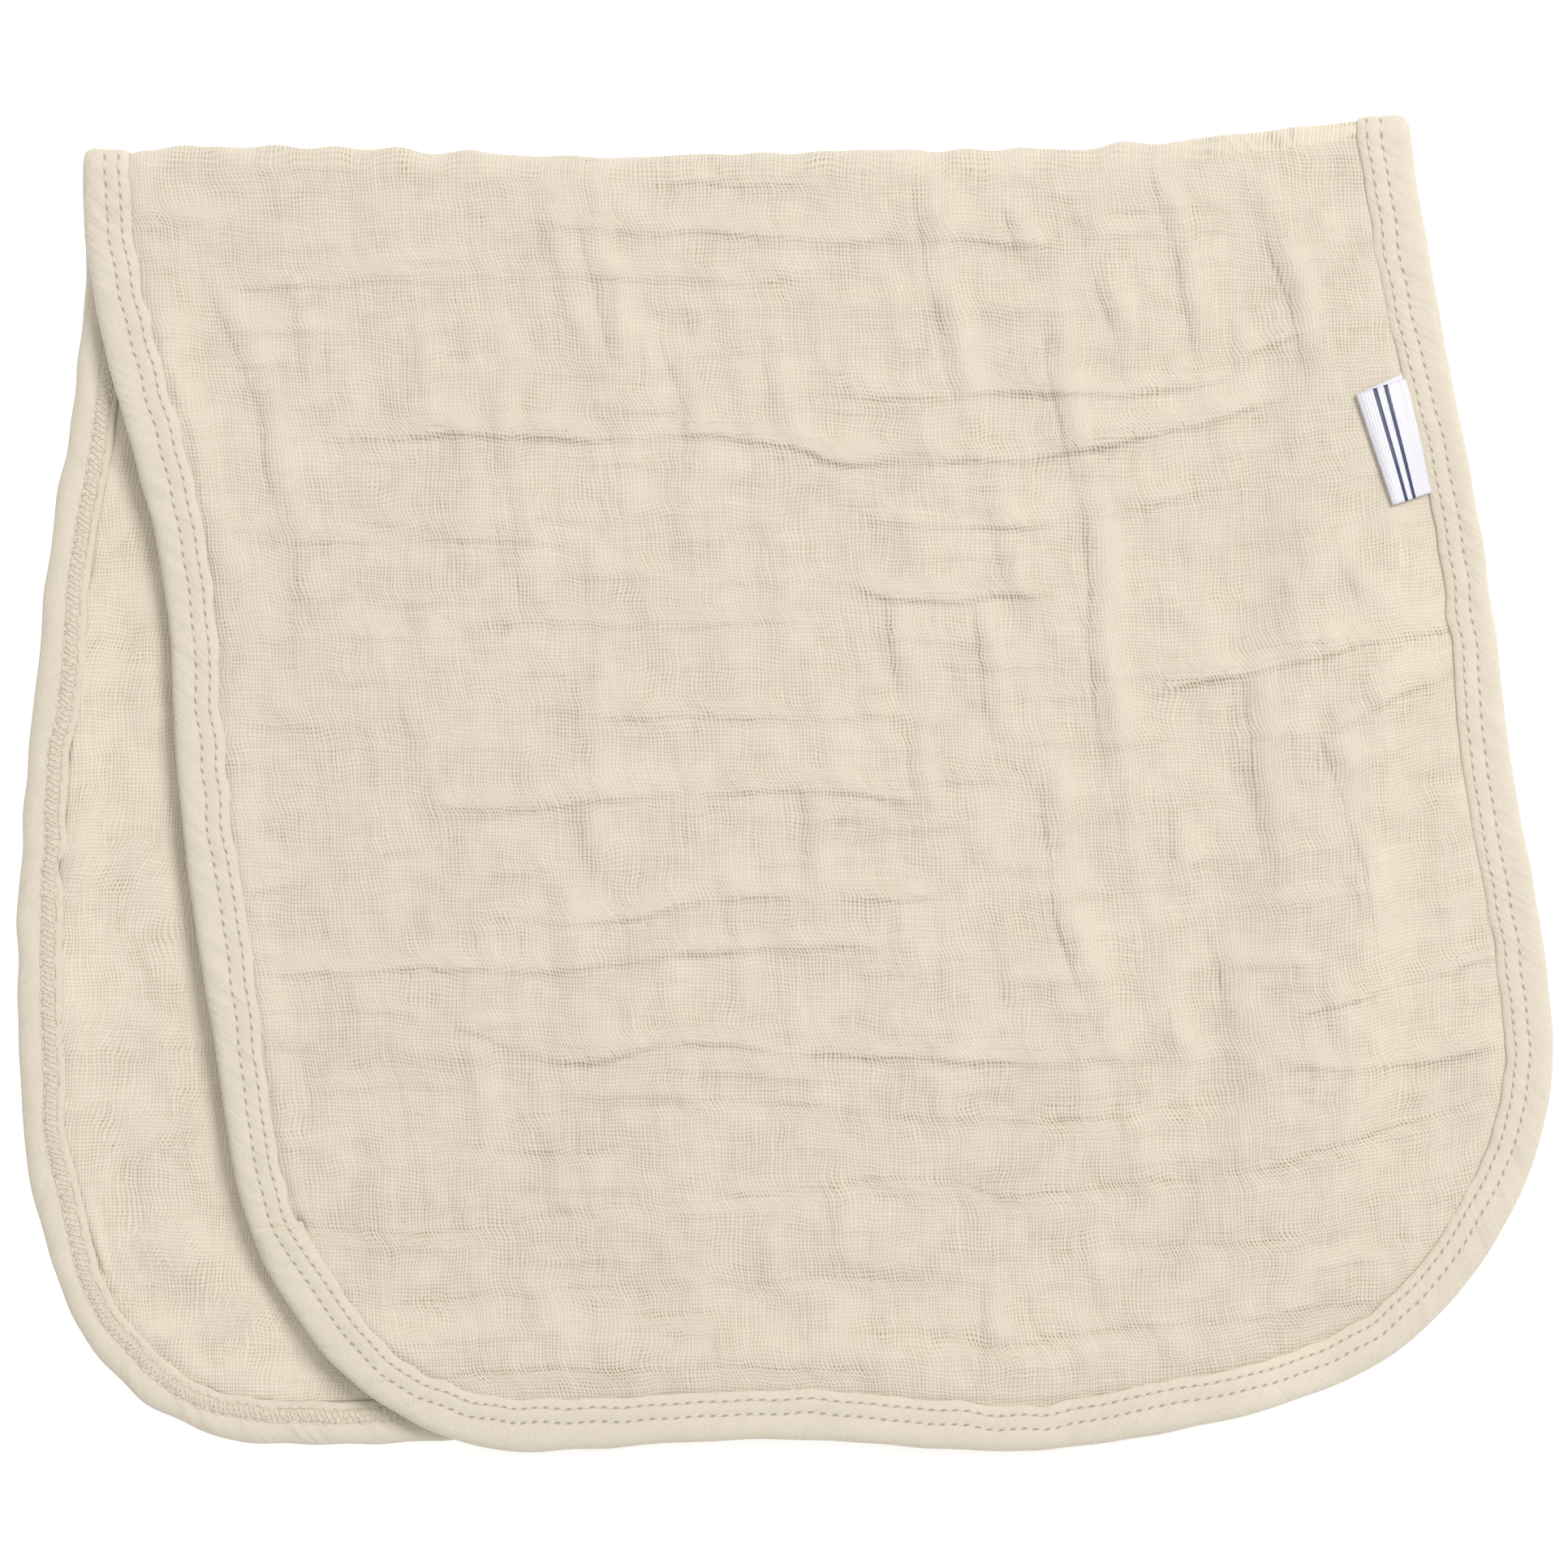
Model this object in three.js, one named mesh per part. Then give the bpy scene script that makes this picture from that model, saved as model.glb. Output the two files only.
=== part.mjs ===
// A burp cloth: a strip of soft muslin gauze, bound all round and folded over at its waist.
// It lies on a table. Lengths are millimetres, x to the right, y towards the fold, z upwards.

import * as THREE from "three";

// Thickness of the panel, of the tape round its edge, and the room left between pieces
const PANEL_THICK = 2;
const PANEL_THICK_IN_TAPE = 1.4;
const TAPE_THICK = 0.9;
const GAP = 0.35;
const TAPE_HALF_HEIGHT = PANEL_THICK_IN_TAPE / 2 + GAP + TAPE_THICK;

// Tape widths on the good face and on the other, and where the panel's edge stops inside it
const TAPE_WIDTH_GOOD_FACE = 9.4;
const TAPE_WIDTH_OTHER_FACE = 8.1;
const TAPE_NOSE = 1;
const TAPE_CHAMFER = 0.585;
const TAPE_BACK_INSET = 1.3;
const PANEL_EDGE_INSET = 2.5;
const PANEL_RIM_INSET = 10.5;

// Fold: the line that its outer side reaches, and the radius of the bend's middle surface
const FOLD_Y = 122;
const FOLD_RADIUS = 2.8;
const FOLD_AXIS_Y = FOLD_Y - FOLD_RADIUS - PANEL_THICK / 2;
const FOLD_SETTLES_OVER = 30;
const EDGE_TURNS_LEVEL_OVER = 25;
const BEND_ANGLES = [-60, -30, 0, 30, 60];

// How far the fold line wanders from FOLD_Y, as it lies
const FOLD_WAVE = [
  { x: -135, out: -0.4 },
  { x: -110, out: 1.6 },
  { x: -50, out: -0.9 },
  { x: -25, out: -1.1 },
  { x: 20, out: 0 },
  { x: 33, out: -1.1 },
  { x: 68, out: 1.4 },
  { x: 91, out: 4 },
  { x: 110, out: 6.4 },
  { x: 121, out: 5.9 },
];
const FOLD_WAVE_REACH = 45;

// Each layer's sides as if its corners were square, and what each round corner takes away.
// A corner of fullness 2 is a quarter ellipse, and a fuller one is squarer
const UPPER = {
  hem: -128.2,
  sides: [
    { y: 122, left: -134.9, right: 119.8 },
    { y: 104, left: -134.2, right: 122.9 },
    { y: 84, left: -130.7, right: 127.1 },
    { y: 50, left: -121.6, right: 134.2 },
    { y: 28, left: -118.2, right: 137.6 },
    { y: 5, left: -117.1, right: 140.3 },
    { y: -25, left: -113.7, right: 145.8 },
    { y: -50, left: -109.7, right: 148.8 },
    { y: -75, left: -106.1, right: 150.2 },
    { y: -88, left: -104.8, right: 151.5 },
    { y: -102, left: -102.8, right: 154.1 },
    { y: -115, left: -101, right: 157.8 },
    { y: -129, left: -98, right: 160.2 },
  ],
  leftCorner: { up: 60, along: 48, fullness: 2 },
  rightCorner: { up: 85, along: 116, fullness: 2.2 },
  hemWave: [
    { x: -65, up: 0 },
    { x: -45, up: -0.1 },
    { x: -14, up: 1.9 },
    { x: 6, up: 2 },
    { x: 26, up: 0.6 },
    { x: 46, up: -0.1 },
    { x: 62, up: 0.9 },
    { x: 80, up: 1.7 },
    { x: 100, up: 1.3 },
    { x: 120, up: 0 },
  ],
};
const LOWER = {
  hem: -127.6,
  sides: [
    { y: 122, left: -134.9, right: 120.3 },
    { y: 98, left: -134.6, right: 118.6 },
    { y: 74, left: -137.1, right: 116.8 },
    { y: 50, left: -141, right: 114.9 },
    { y: 25, left: -143.8, right: 113 },
    { y: 0, left: -146.2, right: 111 },
    { y: -25, left: -147.8, right: 109 },
    { y: -50, left: -148.1, right: 107.1 },
    { y: -75, left: -151, right: 105.1 },
    { y: -88, left: -152.1, right: 104.1 },
    { y: -104, left: -155.4, right: 102.9 },
    { y: -129, left: -158.6, right: 101 },
  ],
  leftCorner: { up: 95, along: 64, fullness: 2.2 },
  rightCorner: { up: 70, along: 52, fullness: 2 },
  hemWave: [
    { x: -92, up: 0 },
    { x: -72, up: 0.7 },
    { x: -45, up: 2.4 },
    { x: 60, up: 3 },
    { x: 101, up: 3 },
  ],
};
const HEM_WAVE_REACH = 40;

// Rows and columns of the panel's faces: the upper layer shows, so it is the finer one
const COLUMNS = 34;
const UPPER_ROWS = 33;
const LOWER_ROWS = 17;

// Heights: the upper layer's underside clears the lower one by CLEARANCE, and by
// EDGE_CLEARANCE where it passes over the bound edge below
const CLEARANCE = 0.4;
const EDGE_CLEARANCE = 1.2;
const STEP_OVER_OUTSIDE = 14;
const STEP_OVER_INSIDE = 15;
const STEP_SPARE = 1.5;

// The upper layer's left edge is not pressed flat: how high it stands, by y
const LEFT_EDGE_LIFT = [
  { y: 122, lift: 0 },
  { y: 80, lift: 0.2 },
  { y: 40, lift: 0.8 },
  { y: 0, lift: 1.4 },
  { y: -40, lift: 1.8 },
  { y: -80, lift: 1.5 },
  { y: -115, lift: 0.4 },
  { y: -129, lift: 0 },
];

// Puckers of the upper layer: lift is the height of a ridge, or the depth of a trough below
// the puffed mean surface; wide is how far to each side it reaches
const PUFF = 1.7;
const PUCKER_DEPTH = 1.35;
const PUCKERS = [
  { lift: -1.1, wide: 6, path: [[-28, 117], [8, 115]] },
  { lift: -0.9, wide: 6, path: [[-48, 107], [-16, 105.5], [52, 104]] },
  { lift: -1.1, wide: 6, path: [[8, 76], [58, 82], [80, 86], [100, 90]] },
  { lift: -1.3, wide: 6.5, path: [[-88, 66], [-34, 65], [14, 62], [56, 63], [100, 76]] },
  { lift: 1.1, wide: 6.5, path: [[6, 92], [57, 92]] },
  { lift: -0.8, wide: 6, path: [[12, 39], [49, 36]] },
  { lift: -0.8, wide: 6, path: [[-57, 31], [-10, 31]] },
  { lift: -1, wide: 6.5, path: [[-35, 13.5], [24, 13.5]] },
  { lift: -1.3, wide: 7, path: [[71, 17], [90, 22], [130, 30]] },
  { lift: -1, wide: 6.5, path: [[-67, -4], [-10, -1], [27, -3]] },
  { lift: -1, wide: 6.5, path: [[-57, -26], [-33, -26], [29, -23]] },
  { lift: -1, wide: 6.5, path: [[-104, -36], [-38, -35], [32, -32]] },
  { lift: -1.4, wide: 7, path: [[-63, -47], [-41, -53], [-20, -50], [26, -53], [66, -53]] },
  { lift: -1, wide: 6.5, path: [[99, -44], [137, -33]] },
  { lift: -1, wide: 6.5, path: [[-52, -65], [0, -62], [41, -65], [90, -61]] },
  { lift: -1.1, wide: 6.5, path: [[-10, -79], [44, -79], [99, -73], [138, -59]] },
  { lift: -1, wide: 6.5, path: [[-95, -85], [-45, -84], [-18, -80]] },
  { lift: -0.9, wide: 6.5, path: [[-76, -100], [-18, -97], [33, -95]] },
  { lift: -1, wide: 6.5, path: [[27, -105], [68, -105], [115, -99]] },
  { lift: -1.2, wide: 6, path: [[-70, -114], [-23, -113], [15, -111]] },
  { lift: -1.1, wide: 6, path: [[-114, 110], [-100, 74], [-92, 30]] },
  { lift: -0.9, wide: 6, path: [[-120, 90], [-109, 51], [-104, 27]] },
  { lift: -1.1, wide: 6, path: [[-38, 108], [-31, 82]] },
  { lift: -0.9, wide: 6, path: [[-56, 76], [-49, 32]] },
  { lift: -0.9, wide: 6, path: [[-74, 26], [-67, -4]] },
  { lift: -1, wide: 6, path: [[26, 120], [35, 71]] },
  { lift: -1.3, wide: 6, path: [[51, 88], [55, 64], [61, 17], [63, 2]] },
  { lift: 0.9, wide: 6.5, path: [[60, 88], [68, 60], [70, 12]] },
  { lift: -1.2, wide: 6, path: [[90, 118], [101, 80]] },
  { lift: -0.9, wide: 6, path: [[21, 35], [27, -4]] },
  { lift: -1.3, wide: 6, path: [[48, 13], [55, -30], [63, -51]] },
  { lift: -1.2, wide: 6, path: [[90, 22], [94, -12]] },
  { lift: -1.1, wide: 6, path: [[105, 10], [116, -33]] },
  { lift: -0.9, wide: 6, path: [[82, -26], [87, -48]] },
  { lift: 0.9, wide: 6, path: [[74, -24], [77, -57], [83, -88]] },
];

// Puckers of the lower layer where it shows at the left: small, so that it stays thin
const LOWER_PUCKERS = [
  { lift: 0.8, wide: 5, path: [[-137, 22], [-127, 21]] },
  { lift: 0.7, wide: 5, path: [[-138, -11], [-122, -9]] },
  { lift: 0.9, wide: 6, path: [[-137, -46], [-119, -44]] },
  { lift: 0.8, wide: 6, path: [[-130, -74], [-115, -70]] },
  { lift: 0.9, wide: 6, path: [[-122, -100], [-106, -94]] },
  { lift: 0.7, wide: 5, path: [[-100, -112], [-92, -108]] },
];

// Lap of the tape's two ends on the good face: where it is and how much it adds
const TAPE_LAP = { x: -103, y: -86, reach: 6, thick: 0.6 };

// Side label: a loop of ribbon whose two ends go under the tape. Corners of its visible part
const LABEL = {
  foldTop: [110, 74.8],
  foldBottom: [117.2, 53.1],
  width: 22.4,
  ply: 0.6,
  loopGap: 0.5,
  aboveCloth: 0.6,
  foldRise: 1,
  rootRise: 0.7,
  length: 9.4,
  flatReach: 23,
  flatFade: 8,
  middleToTape: 4,
  puffBelow: 1,
};

// Colours as they look: warm cream gauze, a slightly lighter tape, a cool white ribbon
const CREAM = 0xe2d8c4;
const TAPE_CREAM = 0xe8dfcb;
const RIBBON_WHITE = 0xe9e9ee;

const radians = THREE.MathUtils.degToRad;
const lerp = THREE.MathUtils.lerp;
const smooth = (value, from, to) => THREE.MathUtils.smoothstep(value, from, to);

// A smooth curve through a short table's rows, read at any value of its first column
function readTable(rows, column, wanted, at) {
  const ordered = [...rows].sort((a, b) => a[column] - b[column]);
  const last = ordered.length - 1;
  if (at <= ordered[0][column]) return ordered[0][wanted];
  if (at >= ordered[last][column]) return ordered[last][wanted];
  let i = 0;
  while (at > ordered[i + 1][column]) i += 1;
  const slope = (k) => {
    const before = ordered[Math.max(k - 1, 0)];
    const after = ordered[Math.min(k + 1, last)];
    return (after[wanted] - before[wanted]) / (after[column] - before[column]);
  };
  const [start, end] = [ordered[i], ordered[i + 1]];
  const span = end[column] - start[column];
  const f = (at - start[column]) / span;
  return (
    (1 + 2 * f) * (1 - f) ** 2 * start[wanted] +
    f * (1 - f) ** 2 * span * slope(i) +
    f ** 2 * (3 - 2 * f) * end[wanted] +
    f ** 2 * (f - 1) * span * slope(i + 1)
  );
}

// A point of a layer moved as its fold line and its hem wander
function wander(layer, x, y) {
  const atFold = smooth(y, FOLD_AXIS_Y - FOLD_WAVE_REACH, FOLD_AXIS_Y);
  const atHem = 1 - smooth(y, layer.hem, layer.hem + HEM_WAVE_REACH);
  const moved = readTable(FOLD_WAVE, "x", "out", x) * atFold;
  return [x, y + moved + readTable(layer.hemWave, "x", "up", x) * atHem];
}

// Outer edge of one layer, from the fold's left end round the hem to the fold's right end
function layerOutline(layer) {
  const points = [];
  const step = 2;
  const arcSteps = 40;
  const side = (name, y) => readTable(layer.sides, "y", name, y);
  const left = layer.leftCorner;
  const right = layer.rightCorner;
  const cornerPoint = (name, corner, way, k) => {
    const turn = (k / arcSteps) * (Math.PI / 2);
    const y = layer.hem + corner.up * (1 - Math.sin(turn) ** (2 / corner.fullness));
    const gone = corner.along * (1 - Math.cos(turn) ** (2 / corner.fullness));
    return [side(name, y) + way * gone, y];
  };
  for (let y = FOLD_AXIS_Y; y > layer.hem + left.up; y -= step) points.push([side("left", y), y]);
  let leftMiddle = 0;
  for (let k = 0; k <= arcSteps; k += 1) {
    points.push(cornerPoint("left", left, 1, k));
    if (k === arcSteps / 2) leftMiddle = points.length - 1;
  }
  const hemStart = points[points.length - 1][0];
  const hemEnd = side("right", layer.hem) - right.along;
  for (let x = hemStart + step; x < hemEnd; x += step) points.push([x, layer.hem]);
  let rightMiddle = 0;
  for (let k = arcSteps; k >= 0; k -= 1) {
    points.push(cornerPoint("right", right, -1, k));
    if (k === arcSteps / 2) rightMiddle = points.length - 1;
  }
  for (let y = layer.hem + right.up + step; y < FOLD_AXIS_Y; y += step) {
    points.push([side("right", y), y]);
  }
  points.push([side("right", FOLD_AXIS_Y), FOLD_AXIS_Y]);
  points.forEach(([x, y], k) => {
    points[k] = wander(layer, x, y);
  });

  const reach = [0];
  for (let k = 1; k < points.length; k += 1) {
    const gone = Math.hypot(points[k][0] - points[k - 1][0], points[k][1] - points[k - 1][1]);
    reach.push(reach[k - 1] + gone);
  }
  const total = reach[reach.length - 1];
  const at = (distance) => {
    const d = THREE.MathUtils.clamp(distance, 0, total);
    let k = 1;
    while (k < reach.length - 1 && reach[k] < d) k += 1;
    const f = (d - reach[k - 1]) / (reach[k] - reach[k - 1]);
    return [lerp(points[k - 1][0], points[k][0], f), lerp(points[k - 1][1], points[k][1], f)];
  };
  return { points, at, total, leftMiddle: reach[leftMiddle], rightMiddle: reach[rightMiddle] };
}

const outlines = { upper: layerOutline(UPPER), lower: layerOutline(LOWER) };

// A station on the outer edge: its place and the direction that points into the cloth
function station(outline, distance) {
  const reach = 4;
  const place = outline.at(distance);
  const before = outline.at(distance - reach);
  const after = outline.at(distance + reach);
  const along = [after[0] - before[0], after[1] - before[1]];
  const size = Math.hypot(along[0], along[1]);
  const calculated = [-along[1] / size, along[0] / size];
  const level = [Math.sign(calculated[0]) || 1, 0];
  const nearFold = smooth(place[1], FOLD_AXIS_Y - EDGE_TURNS_LEVEL_OVER, FOLD_AXIS_Y);
  const inward = [
    lerp(calculated[0], level[0], nearFold),
    lerp(calculated[1], level[1], nearFold),
  ];
  const length = Math.hypot(inward[0], inward[1]);
  return { place, inward: [inward[0] / length, inward[1] / length] };
}

// Distance from a point to a line of points
function distanceToPath(x, y, path) {
  let best = Infinity;
  for (let k = 1; k < path.length; k += 1) {
    const [ax, ay] = path[k - 1];
    const [dx, dy] = [path[k][0] - ax, path[k][1] - ay];
    const f = THREE.MathUtils.clamp(((x - ax) * dx + (y - ay) * dy) / (dx * dx + dy * dy), 0, 1);
    best = Math.min(best, Math.hypot(x - ax - f * dx, y - ay - f * dy));
  }
  return best;
}

// Distance inside the lower layer's bound edge, below zero outside it. The fold is no edge.
const lowerPoints = outlines.lower.points;
const farBeyondFold = 400;
const lowerEdge = [
  [lowerPoints[0][0], farBeyondFold],
  ...lowerPoints,
  [lowerPoints[lowerPoints.length - 1][0], farBeyondFold],
];
function insideLower(x, y) {
  let crossings = 0;
  for (let k = 1; k < lowerEdge.length; k += 1) {
    const [ax, ay] = lowerEdge[k - 1];
    const [bx, by] = lowerEdge[k];
    if (ay > y !== by > y && x < ax + ((y - ay) / (by - ay)) * (bx - ax)) crossings += 1;
  }
  const distance = distanceToPath(x, y, lowerEdge);
  return crossings % 2 ? distance : -distance;
}

// Middle surface of the upper layer where it lies on the table, on the lower layer or on its edge
function restingHeight(x, y) {
  const half = PANEL_THICK / 2;
  const onTable = half;
  const onLower = PANEL_THICK + CLEARANCE + half;
  const onEdge = 2 * TAPE_HALF_HEIGHT + EDGE_CLEARANCE + half;
  const d = insideLower(x, y);
  const innerEdge = TAPE_WIDTH_GOOD_FACE + STEP_SPARE;
  const outside = smooth(d, -STEP_OVER_OUTSIDE, -STEP_SPARE);
  const inside = smooth(d, innerEdge, innerEdge + STEP_OVER_INSIDE);
  return lerp(lerp(onTable, onEdge, outside), onLower, inside);
}

function puckerHeight(rows, x, y) {
  let height = 0;
  for (const row of rows) {
    height += row.lift * Math.exp(-((distanceToPath(x, y, row.path) / row.wide) ** 2));
  }
  return PUCKER_DEPTH * height;
}

// The upper layer settles from the top of the bend down to where it rests
const settled = (y) => 1 - smooth(y, FOLD_AXIS_Y - FOLD_SETTLES_OVER, FOLD_AXIS_Y);
const labelMiddle = [
  (LABEL.foldTop[0] + LABEL.foldBottom[0]) / 2 + LABEL.middleToTape,
  (LABEL.foldTop[1] + LABEL.foldBottom[1]) / 2,
];

function upperHeight(x, y) {
  const toLabel = Math.hypot(x - labelMiddle[0], y - labelMiddle[1]);
  const free = smooth(toLabel, LABEL.flatReach - LABEL.flatFade, LABEL.flatReach);
  const raised = Math.max(0, PUFF + puckerHeight(PUCKERS, x, y));
  const puckers = lerp(LABEL.puffBelow, raised, free);
  const top = PANEL_THICK / 2 + 2 * FOLD_RADIUS;
  return lerp(top, restingHeight(x, y) + puckers, settled(y));
}

// Height of the tape's middle surface along the upper layer's edge
function upperEdgeHeight(place, inward) {
  let rest = 0;
  for (let inset = 0; inset <= PANEL_RIM_INSET; inset += PANEL_RIM_INSET / 4) {
    rest = Math.max(rest, restingHeight(place[0] + inset * inward[0], place[1] + inset * inward[1]));
  }
  const raise = TAPE_HALF_HEIGHT - PANEL_THICK / 2;
  const lift = place[0] < 0 ? readTable(LEFT_EDGE_LIFT, "y", "lift", place[1]) : 0;
  const top = TAPE_HALF_HEIGHT + 2 * FOLD_RADIUS;
  return lerp(top, rest + raise + lift, settled(place[1]));
}

// How far the fold line stands out from the straight line between its two ends
function foldBow(x, start, end) {
  const straight = lerp(start.y, end.y, (x - start.x) / (end.x - start.x));
  return FOLD_AXIS_Y + readTable(FOLD_WAVE, "x", "out", x) - straight;
}

// Rows of the panel, from the lower hem up to the fold, round it and down to the upper hem.
// Every point holds its place, the way out of the fold there, and half its thickness.
function layerGrid(name, rowCount) {
  const outline = outlines[name];
  const upper = name === "upper";
  const rim = (distance) => {
    const at = station(outline, distance);
    const x = at.place[0] + PANEL_RIM_INSET * at.inward[0];
    const y = at.place[1] + PANEL_RIM_INSET * at.inward[1];
    return { ...at, x, y };
  };
  const left = (v) => rim(v * outline.leftMiddle);
  const right = (v) => rim(outline.total - v * (outline.total - outline.rightMiddle));
  const hem = (u) => rim(lerp(outline.leftMiddle, outline.rightMiddle, u));
  const fold = (u) => {
    const x = lerp(left(0).x, right(0).x, u);
    return { x, y: lerp(left(0).y, right(0).y, u) + foldBow(x, left(0), right(0)) };
  };
  const corners = [fold(0), fold(1), hem(0), hem(1)];
  const rows = [];
  for (let j = 0; j <= rowCount; j += 1) {
    const v = j / rowCount;
    const row = [];
    for (let i = 0; i <= COLUMNS; i += 1) {
      const u = i / COLUMNS;
      const blend = (axis) =>
        (1 - v) * fold(u)[axis] + v * hem(u)[axis] +
        (1 - u) * left(v)[axis] + u * right(v)[axis] -
        (1 - u) * (1 - v) * corners[0][axis] - u * (1 - v) * corners[1][axis] -
        (1 - u) * v * corners[2][axis] - u * v * corners[3][axis];
      const [x, y] = [blend("x"), blend("y")];
      const onRim = i === 0 || i === COLUMNS || j === rowCount;
      let edge = null;
      if (i === 0) edge = left(v);
      else if (i === COLUMNS) edge = right(v);
      else if (j === rowCount) edge = hem(u);
      let z = upper ? upperHeight(x, y) : PANEL_THICK / 2;
      if (onRim) z = upper ? upperEdgeHeight(edge.place, edge.inward) : TAPE_HALF_HEIGHT;
      row.push({ x, y, z, edge, out: [0, 0, upper ? 1 : -1] });
    }
    rows.push(row);
  }
  return rows;
}

function bendRows(lowerTop) {
  return BEND_ANGLES.map((degrees) => {
    const [c, s] = [Math.cos(radians(degrees)), Math.sin(radians(degrees))];
    const out = FOLD_RADIUS * c;
    return lowerTop.map(({ x, y, z, edge }) => ({
      x,
      y: y + out,
      z: z + FOLD_RADIUS * (1 + s),
      edge: edge && { inward: edge.inward, place: [edge.place[0], edge.place[1] + out] },
      out: [0, c, s],
    }));
  });
}

const lowerRows = layerGrid("lower", LOWER_ROWS).reverse();
const upperRows = layerGrid("upper", UPPER_ROWS);
const grid = [...lowerRows, ...bendRows(lowerRows[lowerRows.length - 1]), ...upperRows];
const lastRow = grid.length - 1;

// The rim of the grid, once round: up the left, along the upper hem, down the right, and back
const rimPoints = [];
for (let j = 0; j < lastRow; j += 1) rimPoints.push(grid[j][0]);
for (let i = 0; i < COLUMNS; i += 1) rimPoints.push(grid[lastRow][i]);
for (let j = lastRow; j > 0; j -= 1) rimPoints.push(grid[j][COLUMNS]);
for (let i = COLUMNS; i > 0; i -= 1) rimPoints.push(grid[0][i]);

// A point at some inset from the outer edge and some height out of the middle surface
function edgePoint(point, inset, height) {
  const { place, inward } = point.edge;
  return [
    place[0] + inset * inward[0],
    place[1] + inset * inward[1] + height * point.out[1],
    point.z + height * point.out[2],
  ];
}

function meshFrom(name, vertices, faces, colour, roughness) {
  const geometry = new THREE.BufferGeometry();
  geometry.setAttribute("position", new THREE.Float32BufferAttribute(vertices.flat(), 3));
  geometry.setIndex(faces.flat());
  geometry.computeVertexNormals();
  const material = new THREE.MeshStandardMaterial({ color: colour, roughness, metalness: 0 });
  const mesh = new THREE.Mesh(geometry, material);
  mesh.name = name;
  return mesh;
}

const quad = (a, b, c, d) => [[a, b, c], [a, c, d]];

function muslinPanel() {
  const vertices = [];
  const faces = [];
  const add = (point) => vertices.push(point) - 1;
  const put = (point, height) =>
    add([point.x, point.y + height * point.out[1], point.z + height * point.out[2]]);
  const faceHeight = (point, side) => {
    const half = (point.edge ? PANEL_THICK_IN_TAPE : PANEL_THICK) / 2;
    const underside = side < 0 && point.out[2] === -1;
    const pucker = underside && !point.edge ? puckerHeight(LOWER_PUCKERS, point.x, point.y) : 0;
    return side * (half + pucker);
  };
  for (const row of grid) {
    for (const point of row) {
      point.outer = put(point, faceHeight(point, 1));
      point.inner = put(point, faceHeight(point, -1));
    }
  }
  for (let j = 0; j < lastRow; j += 1) {
    for (let i = 0; i < COLUMNS; i += 1) {
      const around = [grid[j][i], grid[j + 1][i], grid[j + 1][i + 1], grid[j][i + 1]];
      const atCorner = (j === 0 && i === COLUMNS - 1) || (j === lastRow - 1 && i === 0);
      const turned = atCorner ? [...around.slice(1), around[0]] : around;
      const outer = turned.map((point) => point.outer);
      const inner = turned.map((point) => point.inner).reverse();
      faces.push(...quad(...outer), ...quad(inner[1], inner[2], inner[3], inner[0]));
    }
  }
  const half = PANEL_THICK_IN_TAPE / 2;
  const ends = rimPoints.map((point) => ({
    outer: add(edgePoint(point, PANEL_EDGE_INSET, half)),
    inner: add(edgePoint(point, PANEL_EDGE_INSET, -half)),
  }));
  for (let k = 0; k < rimPoints.length; k += 1) {
    const next = (k + 1) % rimPoints.length;
    const [a, b] = [rimPoints[k], rimPoints[next]];
    faces.push(...quad(ends[k].outer, ends[next].outer, b.outer, a.outer));
    faces.push(...quad(ends[next].inner, ends[k].inner, a.inner, b.inner));
    faces.push(...quad(ends[k].outer, ends[k].inner, ends[next].inner, ends[next].outer));
  }
  return meshFrom("muslin_panel", vertices, faces, CREAM, 0.95);
}

// The tape's section: inset from the outer edge, and height out of the middle surface
function tapeSection(extra) {
  const high = TAPE_HALF_HEIGHT;
  const room = PANEL_THICK_IN_TAPE / 2 + GAP;
  return [
    [0, -high / 2],
    [0, high / 2],
    [TAPE_NOSE, high],
    [TAPE_WIDTH_GOOD_FACE - TAPE_NOSE, high + extra],
    [TAPE_WIDTH_GOOD_FACE, high - TAPE_CHAMFER + extra],
    [TAPE_WIDTH_GOOD_FACE, room],
    [TAPE_BACK_INSET, room],
    [TAPE_BACK_INSET, -room],
    [TAPE_WIDTH_OTHER_FACE, -room],
    [TAPE_WIDTH_OTHER_FACE, TAPE_CHAMFER - high],
    [TAPE_WIDTH_OTHER_FACE - TAPE_NOSE, -high],
    [TAPE_NOSE, -high],
  ];
}

function edgeBinding() {
  const vertices = [];
  const faces = [];
  const sides = tapeSection(0).length;
  for (const point of rimPoints) {
    const [x, y] = point.edge.place;
    const toLap = Math.hypot(x - TAPE_LAP.x, y - TAPE_LAP.y) / TAPE_LAP.reach;
    const lap = point.out[2] === 1 ? TAPE_LAP.thick * Math.exp(-(toLap ** 2)) : 0;
    for (const [inset, height] of tapeSection(lap)) vertices.push(edgePoint(point, inset, height));
  }
  const count = rimPoints.length;
  for (let k = 0; k < count; k += 1) {
    for (let m = 0; m < sides; m += 1) {
      const here = k * sides;
      const there = ((k + 1) % count) * sides;
      const next = (m + 1) % sides;
      faces.push(...quad(here + m, there + m, there + next, here + next));
    }
  }
  return meshFrom("edge_binding", vertices, faces, TAPE_CREAM, 0.9);
}

// Place on the tape's inner edge at the right side, for a given y
function innerTapeEdge(y) {
  const outline = outlines.upper;
  let low = outline.rightMiddle;
  let high = outline.total;
  const halvings = 30;
  const inner = (distance) => {
    const at = station(outline, distance);
    const inset = TAPE_WIDTH_GOOD_FACE + GAP;
    return [at.place[0] + inset * at.inward[0], at.place[1] + inset * at.inward[1]];
  };
  for (let k = 0; k < halvings; k += 1) {
    const middle = (low + high) / 2;
    if (inner(middle)[1] < y) low = middle;
    else high = middle;
  }
  return inner((low + high) / 2);
}

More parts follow.
